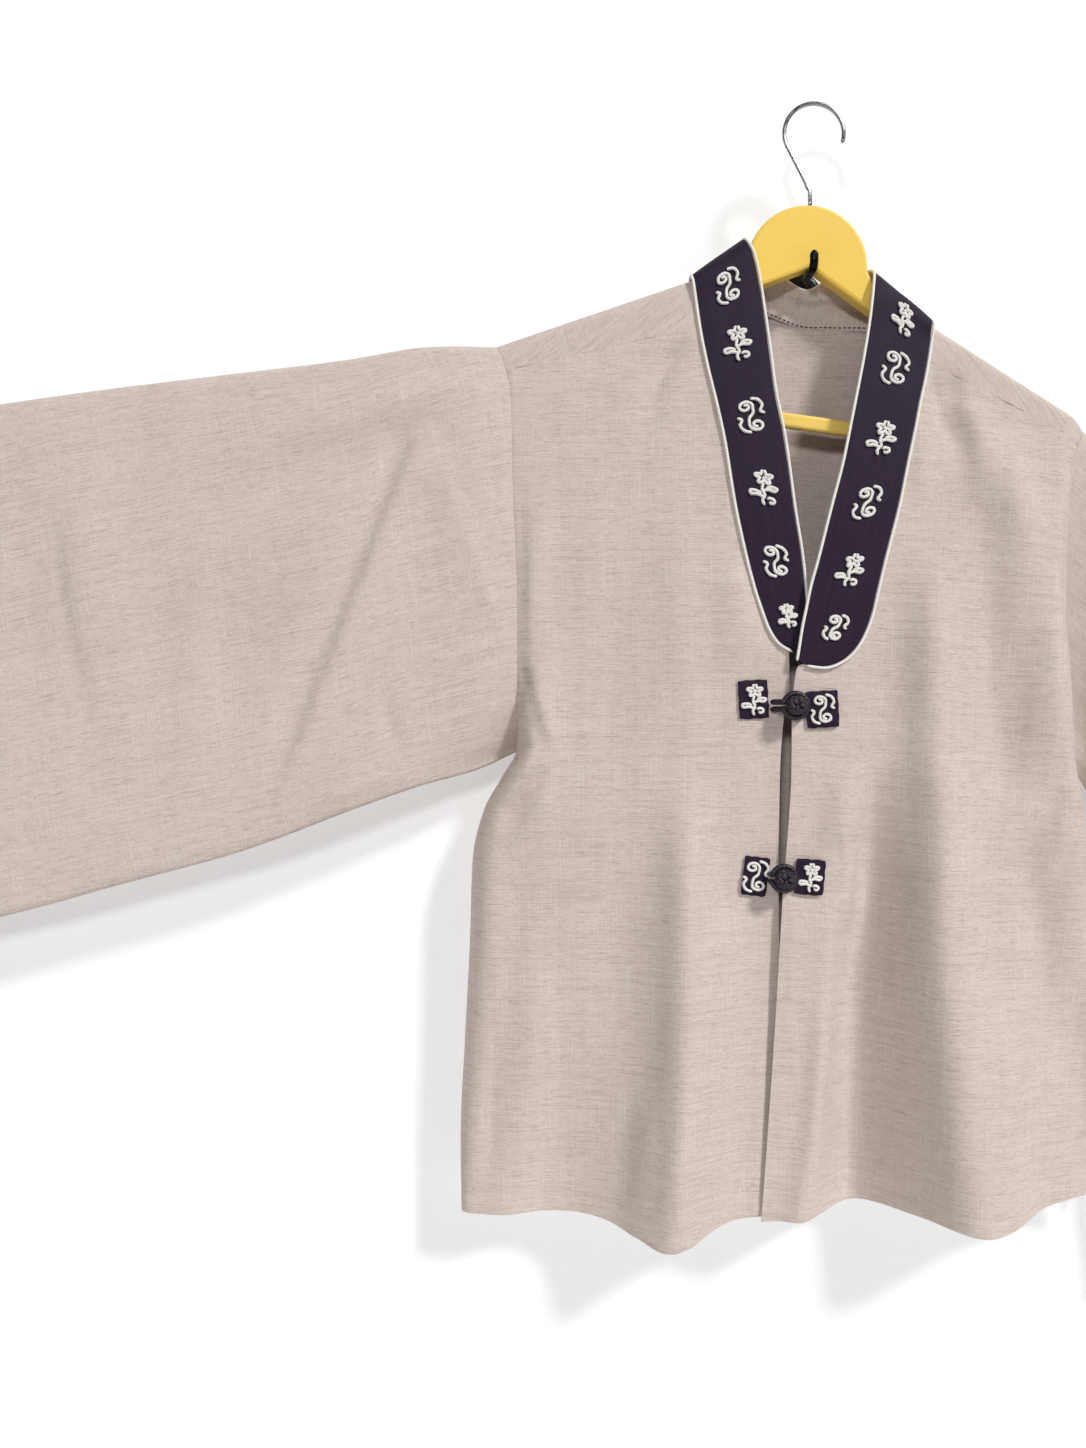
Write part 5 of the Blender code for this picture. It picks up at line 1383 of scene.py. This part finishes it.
# Its second colour is the painted shade between the thread's turns.
dark_thread = cord_material("dark_thread", (0.030, 0.018, 0.026), (0.016, 0.010, 0.014), 0.6, 0.001, 0.0)
felled = facing_points[:, -2]
felled = felled[(felled[:, 0] > SEEN_FROM) & (felled[:, 0] < SEEN_TO)]
stitches = stitch_row(felled, STITCH_PITCH, STITCH_LENGTH, STITCH_LIFT)
facing_stitches = cord_mesh("facing_stitches", stitches, THREAD_RADIUS, dark_thread, 6)
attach(facing_stitches, "root")


# Tabs: four small squares of the plum cloth, folded round a stiff core and slip-stitched to the fronts,
# each with a cord ornament. The loops and knots are sewn into them.
TABS = table(
    ("side", "x", "z", "wide", "high", "turn", "kind"),
    (-1, -45.5, -318.0, 21.6, 28.0, -3.0, 1),
    (1, 3.6, -325.2, 23.6, 26.4, -3.5, 0),
    (-1, -43.6, -447.5, 18.4, 28.4, 7.0, 0),
    (1, -5.0, -447.4, 21.4, 25.8, 5.0, 1),
)
TAB_NODES = ("tab_right_upper", "tab_left_upper", "tab_right_lower", "tab_left_lower")
tab_strokes = []
for i, node in enumerate(TAB_NODES):
    side, x, z, wide, high, turn, kind = (column[i] for column in TABS.values())
    cos, sin = math.cos(math.radians(turn)), math.sin(math.radians(turn))

    def on_front(right, up, lift, side=side, x=x, z=z, cos=cos, sin=sin):
        px, pz = x + right * cos + up * sin, z - right * sin + up * cos
        return np.stack((px, front_off(px, pz, side) + BAND_LIFT + lift, pz), axis=-1)

    u, v = np.meshgrid(np.linspace(-1.0, 1.0, 31), np.linspace(1.0, -1.0, 33))
    wavy_side = 1.0 - 0.018 * np.cos(v * 9.0 + i) - 0.03 * np.abs(v) ** 6
    wavy_end = 1.0 - 0.015 * np.cos(u * 8.0 + 2.0 * i) - 0.03 * np.abs(u) ** 6
    edge = np.maximum(np.abs(u), np.abs(v))
    puff = 0.55 * (1.0 - edge ** 6) - 0.25 + 0.12 * ripple(u * 12.0, v * 14.0, 81 + i, 9.0)
    points = on_front(u * wavy_side * wide / 2.0, v * wavy_end * high / 2.0, puff)
    tab = cloth(node + "_cloth", [(points, weave_places(points))], plum, BAND_CLOTH)
    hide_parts(node)
    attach(tab, "root")
    panel = front_right if side < 0 else front_left
    tab_strokes += ornament_lines(
        kind, high * 0.86, turn * 0.5, lambda right, up, lift, on=on_front: on(right, up, lift * 0.75 + 1.25))
tab_ornaments = cord_mesh("tab_ornaments", tab_strokes, ORNAMENT_CORD * 0.9, cream_cord, 8, ORNAMENT_FRAY)
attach(tab_ornaments, "root")


# Fastenings: a loop of twisted plum cord from each tab of the right front, caught on a ball knot that is
# tied in the same cord and sewn to the edge of the left front.
KNOT_RADIUS = 7.6
KNOT_DEPTH = 6.6
KNOT_LIFT = 9.6
KNOT_CORD = 1.75
KNOT_TURNS = 4.0
KNOT_WAVES = 5.0
KNOT_REACH = 0.80
KNOT_UNEVEN = 0.085
LOOP_CORD = 2.1
LOOP_RADIUS = 8.7
LOOP_LIFT = 4.9
LOOP_NARROW = 0.30
LOOP_START = 0.4
LOOP_CLEAR = 1.1
FASTENINGS = table(
    ("knot_x", "knot_z", "tab_edge"),
    (-16.4, -322.6, -33.9),
    (-24.3, -448.0, -33.9),
)
# Its second colour is the painted shade between the cord's turns.
plum_cord = cord_material("plum_cord", (0.014, 0.0065, 0.017), (0.006, 0.003, 0.008), 0.46, 0.007, 0.03)

for name, knot_x, knot_z, tab_edge in zip(("upper", "lower"), *FASTENINGS.values()):
    base = float(front_off(np.array(lap_edge(knot_z)), np.array(knot_z), 1))
    turn = np.linspace(0.0, 2.0 * math.pi, 420)
    rise = np.sin(KNOT_WAVES * turn + 0.6) * KNOT_REACH
    spin = KNOT_TURNS * turn + 0.35 * np.sin(2.0 * KNOT_WAVES * turn)
    level = np.sqrt(1.0 - rise ** 2)
    over = 1.0 + KNOT_UNEVEN * np.cos(18.0 * turn + 0.4)
    ball = np.stack((
        knot_x + (KNOT_RADIUS - KNOT_CORD) * over * level * np.cos(spin),
        base + KNOT_LIFT + (KNOT_DEPTH - KNOT_CORD) * over * rise,
        knot_z + (KNOT_RADIUS - KNOT_CORD) * over * level * np.sin(spin),
    ), axis=-1)
    polar = np.linspace(0.02, math.pi - 0.02, 26)[:, None]
    spin = np.linspace(0.0, 2.0 * math.pi, 33)[None, :]
    core_radius, core_depth = KNOT_RADIUS - KNOT_CORD - 0.1, KNOT_DEPTH - KNOT_CORD - 0.1
    core = np.stack((
        knot_x + core_radius * np.sin(polar) * np.cos(spin),
        base + KNOT_LIFT + core_depth * np.cos(polar) + 0.0 * spin,
        knot_z + core_radius * np.sin(polar) * np.sin(spin),
    ), axis=-1)
    turns = [ball] + [core[:, j] for j in (0, 11, 22)]
    knot = cord_mesh("knot_" + name + "_cord", turns, KNOT_CORD, plum_cord, 10)
    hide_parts("knot_" + name)
    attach(knot, "root")

    first = math.pi - math.asin(LOOP_NARROW)
    tab_top = float(front_off(np.array(tab_edge), np.array(knot_z), -1)) + LOOP_CORD + LOOP_CLEAR
    end_x, rise = knot_x + LOOP_RADIUS * math.cos(first), LOOP_RADIUS * math.sin(first)
    out = np.linspace(0.0, 1.0, 14)[:-1]
    strand_x = mix(tab_edge + LOOP_START, end_x, out)
    strand = np.stack((strand_x, mix(tab_top, base + LOOP_LIFT, ease(out)), 0.0 * out), axis=-1)
    angle = first * (1.0 - 2.0 * np.linspace(0.0, 1.0, 60))
    bend = np.stack((knot_x + LOOP_RADIUS * np.cos(angle), 0.0 * angle + base + LOOP_LIFT,
                     knot_z + LOOP_RADIUS * np.sin(angle)), axis=-1)
    upper, lower = strand + (0.0, 0.0, knot_z + rise), strand[::-1] + (0.0, 0.0, knot_z - rise)
    loop_line = np.concatenate((upper, bend, lower))
    loop = cord_mesh("loop_" + name + "_cord", [loop_line], LOOP_CORD, plum_cord, 14)
    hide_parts("loop_" + name)
    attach(loop, "root")


# Hanger: a board of limewood sawn to shape, its edges rounded, with a bar between its feet, all painted in
# satin yellow. The board and bar are the solids themselves in a better finish.
def painted_wood():
    """Satin paint on wood: brush drag along the grain, slight orange peel, and a paler colour along sharp
    edges.
    """
    material, tree, shader = bare_material("yellow_paint_finish", 0.42, coat=0.25)
    shader.inputs["Coat Roughness"].default_value = 0.25
    place = add(tree, "ShaderNodeTexCoord")
    scaled = add(tree, "ShaderNodeMapping", {"Scale": (12.0, 300.0, 220.0), "Rotation": (0.0, TILT, 0.0)})
    tree.links.new(place.outputs["Object"], scaled.inputs["Vector"])
    drag = add(tree, "ShaderNodeTexNoise", {"Scale": 1.0, "Detail": 3.0})
    tree.links.new(scaled.outputs[0], drag.inputs["Vector"])
    broad = add(tree, "ShaderNodeTexNoise", {"Scale": 14.0, "Detail": 3.0})
    tree.links.new(place.outputs["Object"], broad.inputs["Vector"])
    peel = add(tree, "ShaderNodeTexNoise", {"Scale": 900.0, "Detail": 1.0})
    tree.links.new(place.outputs["Object"], peel.inputs["Vector"])
    share = sum_of(tree, (drag.outputs["Fac"], 0.4), (broad.outputs["Fac"], 0.6))
    colour = blend_colour(tree, share, (0.93, 0.64, 0.100, 1.0), (0.86, 0.555, 0.072, 1.0))
    # Paler colour where the surface is sharply convex, along the edges.
    edge = add(tree, "ShaderNodeNewGeometry")
    rim = add(tree, "ShaderNodeMapRange", {"From Min": 0.52, "From Max": 0.62, "To Max": 0.35})
    tree.links.new(edge.outputs["Pointiness"], rim.inputs["Value"])
    colour = blend_colour(tree, rim.outputs[0], colour, (0.98, 0.82, 0.42, 1.0))
    tree.links.new(colour, shader.inputs["Base Color"])
    rough = add(tree, "ShaderNodeMapRange", {"To Min": 0.34, "To Max": 0.50})
    tree.links.new(drag.outputs["Fac"], rough.inputs["Value"])
    tree.links.new(rough.outputs[0], shader.inputs["Roughness"])
    raise_by(tree, shader, sum_of(tree, (drag.outputs["Fac"], 0.7), (peel.outputs["Fac"], 0.3)), 0.00012)
    return material


yellow_paint = painted_wood()
for name in ("hanger_board", "hanger_bar"):
    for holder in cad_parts[name].material_slots:
        holder.material = yellow_paint


# Steel hook: one length of bright wire, bent cold. Its short stem stands in the hanger's head, and above it
# come a slant and an open round.
WIRE_RADIUS = 1.6
HEAD_RADIUS = 45.0
HEAD_X, HEAD_Z = beside_apex(-2.5, 1.5)
HOOK_RADIUS = 22.3
HOOK_CENTRE = (4.0, 107.0)
HOOK_FROM, HOOK_TO = -20.0, 208.0
STEM_X = 1.05
STEM_BEND = (-1.2, 68.2)


def drawn_lines():
    """What drawing and handling leave on wire or rod: fine lines along it, and dull marks."""
    group, given, gives = finish_group(
        "drawn_lines",
        {"Place": "Vector", "Ground": "Color", "Line": "Color", "Bright": "Float", "Dull": "Float"},
        {"Colour": "Color", "Roughness": "Float", "Height": "Float"})
    lines = streaks(group, given["Place"], 0.03, 0.0004, 0.35, 0.75)
    marks = streaks(group, given["Place"], 0.006, 0.006, 0.3, 0.7)
    colour = blend_colour(group, sum_of(group, (lines, 0.35), (marks, 0.2)), given["Ground"], given["Line"])
    gloss = add(group, "ShaderNodeMapRange")
    group.links.new(marks, gloss.inputs["Value"])
    group.links.new(given["Bright"], gloss.inputs["To Min"])
    group.links.new(given["Dull"], gloss.inputs["To Max"])
    group.links.new(colour, gives["Colour"])
    group.links.new(gloss.outputs[0], gives["Roughness"])
    group.links.new(lines, gives["Height"])
    return group


DRAWN_LINES = drawn_lines()


def drawn_metal(name, colour, rough, metal, scratch):
    """Wire or rod, bare or enamelled, with fine lines along it and a slightly uneven gloss."""
    material, tree, shader = bare_material(name, rough, metal=metal)
    place = add(tree, "ShaderNodeUVMap", uv_map="weave")
    finish = add(tree, "ShaderNodeGroup", node_tree=DRAWN_LINES)
    finish.inputs["Ground"].default_value = (*colour, 1.0)
    finish.inputs["Line"].default_value = (*[c * 0.72 for c in colour], 1.0)
    finish.inputs["Bright"].default_value = rough * 0.8
    finish.inputs["Dull"].default_value = rough * 1.5
    tree.links.new(place.outputs[0], finish.inputs["Place"])
    tree.links.new(finish.outputs["Colour"], shader.inputs["Base Color"])
    tree.links.new(finish.outputs["Roughness"], shader.inputs["Roughness"])
    raise_by(tree, shader, finish.outputs["Height"], scratch)
    return material


steel = drawn_metal("bright_steel", (0.40, 0.40, 0.41), 0.24, 1.0, 0.00002)
turn = np.radians(np.linspace(HOOK_FROM, HOOK_TO, 80))
round_part = np.stack((HOOK_CENTRE[0] + HOOK_RADIUS * np.cos(turn),
                       HOOK_CENTRE[1] + HOOK_RADIUS * np.sin(turn)), axis=-1)
head_top = HEAD_Z + math.sqrt(HEAD_RADIUS ** 2 - (STEM_X - HEAD_X) ** 2) + SEAM_STEP
slant = [mix(round_part[-1], np.array(STEM_BEND), u) for u in np.linspace(0.0, 0.94, 20)[1:]]
corner = [(STEM_BEND[0] + 0.32, STEM_BEND[1] - 1.9), (STEM_X - 0.15, STEM_BEND[1] - 4.2)]
stem = [(STEM_X, mix(STEM_BEND[1] - 8.2, head_top, u)) for u in np.linspace(0.0, 1.0, 6)]
flat_line = np.concatenate((round_part, slant, corner, stem))
hook_line = np.insert(flat_line, 1, HANGER_OFF, axis=1)
hook = cord_mesh("hanger_hook_wire", [hook_line], WIRE_RADIUS, steel, 20)
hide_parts("hanger_hook")
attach(hook, "root")


# Wall hook: a turned steel plate on the wall and a bar that comes out under the hanger and turns up, both
# in black enamel. The hanger's underside rests on the bar.
PLATE = table(
    ("out", "off"),
    (0.01, 4.0), (5.0, 4.0), (14.0, 3.9), (18.5, 3.6), (20.2, 3.1), (21.1, 2.3), (21.5, 1.3), (21.5, 0.05),
    (0.01, 0.05),
)
WALL_BAR_RADIUS = 3.15
WALL_BAR_FROM = 4.3
WALL_BAR_OUT = 62.0
WALL_BAR_BEND = 5.4
WALL_BAR_TIP = 12.5
enamel = drawn_metal("black_enamel_finish", (0.003, 0.003, 0.0035), 0.20, 0.0, 0.00003)
enamel.node_tree.nodes["Principled BSDF"].inputs["Specular IOR Level"].default_value = 0.12
turn = np.radians(np.linspace(-90.0, 0.0, 18))
bend = np.stack((0.0 * turn, WALL_BAR_OUT - WALL_BAR_BEND + WALL_BAR_BEND * np.cos(turn),
                 WALL_BAR_BEND + WALL_BAR_BEND * np.sin(turn)), axis=-1)
out = [(0.0, off, 0.0) for off in np.linspace(WALL_BAR_FROM, WALL_BAR_OUT - WALL_BAR_BEND - 2.0, 24)]
up = [(0.0, WALL_BAR_OUT, z) for z in np.linspace(WALL_BAR_BEND + 0.6, WALL_BAR_TIP, 9)]
bar_line = np.concatenate((out, bend, up))
wall_bar = cord_mesh("wall_bar_enamel", [bar_line], WALL_BAR_RADIUS, enamel, 20)
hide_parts("wall_bar")
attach(wall_bar, "root")

plate_mesh = bpy.data.meshes.new("wall_plate_turned")
plate_mesh.from_pydata([(out * MM, -off * MM, 0.0) for out, off in zip(*PLATE.values())],
                       [(i, i + 1) for i in range(len(PLATE["out"]) - 1)], [])
plate = bpy.data.objects.new("wall_plate_turned", plate_mesh)
bpy.context.scene.collection.objects.link(plate)
lathe = plate.modifiers.new("turned", "SCREW")
lathe.axis = "Y"
lathe.steps = lathe.render_steps = 72
lathe.use_merge_vertices = True
lathe.merge_threshold = 0.00002
lathe.use_smooth_shade = True
plate_mesh.uv_layers.new(name="weave")
plate_mesh.materials.append(enamel)
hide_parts("wall_plate")
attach(plate, "root")


# Studio: a white wall just behind the plate, which is clear from behind so that the back can be seen, a
# pale floor, a white sky, a soft light from above on the right and a weaker one from the left.
WALL_Y = 0.0012
FLOOR_Z = -1.25


def flat_sheet(name, corners, material):
    mesh = bpy.data.meshes.new(name)
    mesh.from_pydata(corners, [], [(0, 1, 2, 3)])
    mesh.materials.append(material)
    made = bpy.data.objects.new(name, mesh)
    bpy.context.scene.collection.objects.link(made)
    made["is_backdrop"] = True
    return made


def studio_white(name, see_through, glow):
    """Matt white paint, lit a little from within as a bright backdrop is; where asked, its back is clear."""
    material, tree, shader = bare_material(name, 0.95)
    shader.inputs["Emission Color"].default_value = (1.0, 1.0, 1.0, 1.0)
    shader.inputs["Emission Strength"].default_value = glow
    shader.inputs["Base Color"].default_value = (0.70, 0.70, 0.70, 1.0)
    shader.inputs["Specular IOR Level"].default_value = 0.1
    if see_through:
        side_seen = add(tree, "ShaderNodeNewGeometry")
        clear = add(tree, "ShaderNodeBsdfTransparent")
        either = add(tree, "ShaderNodeMixShader")
        tree.links.new(side_seen.outputs["Backfacing"], either.inputs[0])
        tree.links.new(shader.outputs[0], either.inputs[1])
        tree.links.new(clear.outputs[0], either.inputs[2])
        tree.links.new(either.outputs[0], tree.nodes["Material Output"].inputs["Surface"])
    return material


flat_sheet("wall", [(-4.0, WALL_Y, FLOOR_Z), (4.0, WALL_Y, FLOOR_Z), (4.0, WALL_Y, 3.0), (-4.0, WALL_Y, 3.0)],
           studio_white("wall_white", True, 0.35))
flat_sheet("floor", [(-4.0, -4.0, FLOOR_Z), (4.0, -4.0, FLOOR_Z), (4.0, 4.0, FLOOR_Z), (-4.0, 4.0, FLOOR_Z)],
           studio_white("floor_white", False, 0.0))

sky = bpy.data.worlds.new("white_sky")
sky.use_nodes = True
sky.node_tree.nodes["Background"].inputs["Color"].default_value = (1.0, 1.0, 1.0, 1.0)
sky.node_tree.nodes["Background"].inputs["Strength"].default_value = 0.06
bpy.context.scene.world = sky
bpy.context.scene.view_settings.view_transform = "Standard"

for name, toward, spread, power in (
    ("right_light", (0.80, -0.85, 1.00), 9.0, 2.66),
    ("front_light", (-0.24, -1.0, 0.28), 9.0, 0.98),
    ("rear_light", (0.6, 1.0, 0.8), 30.0, 2.2),
):
    light = bpy.data.lights.new(name, "SUN")
    light.angle = math.radians(spread)
    light.energy = power
    lamp = bpy.data.objects.new(name, light)
    bpy.context.scene.collection.objects.link(lamp)
    lamp.location = toward
    level = math.hypot(toward[0], toward[1])
    lamp.rotation_euler = (math.atan2(level, toward[2]), 0.0, math.atan2(toward[0], -toward[1]))


[[[float(v) for v in corner] for corner in box] for box in (cad_box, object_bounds())]
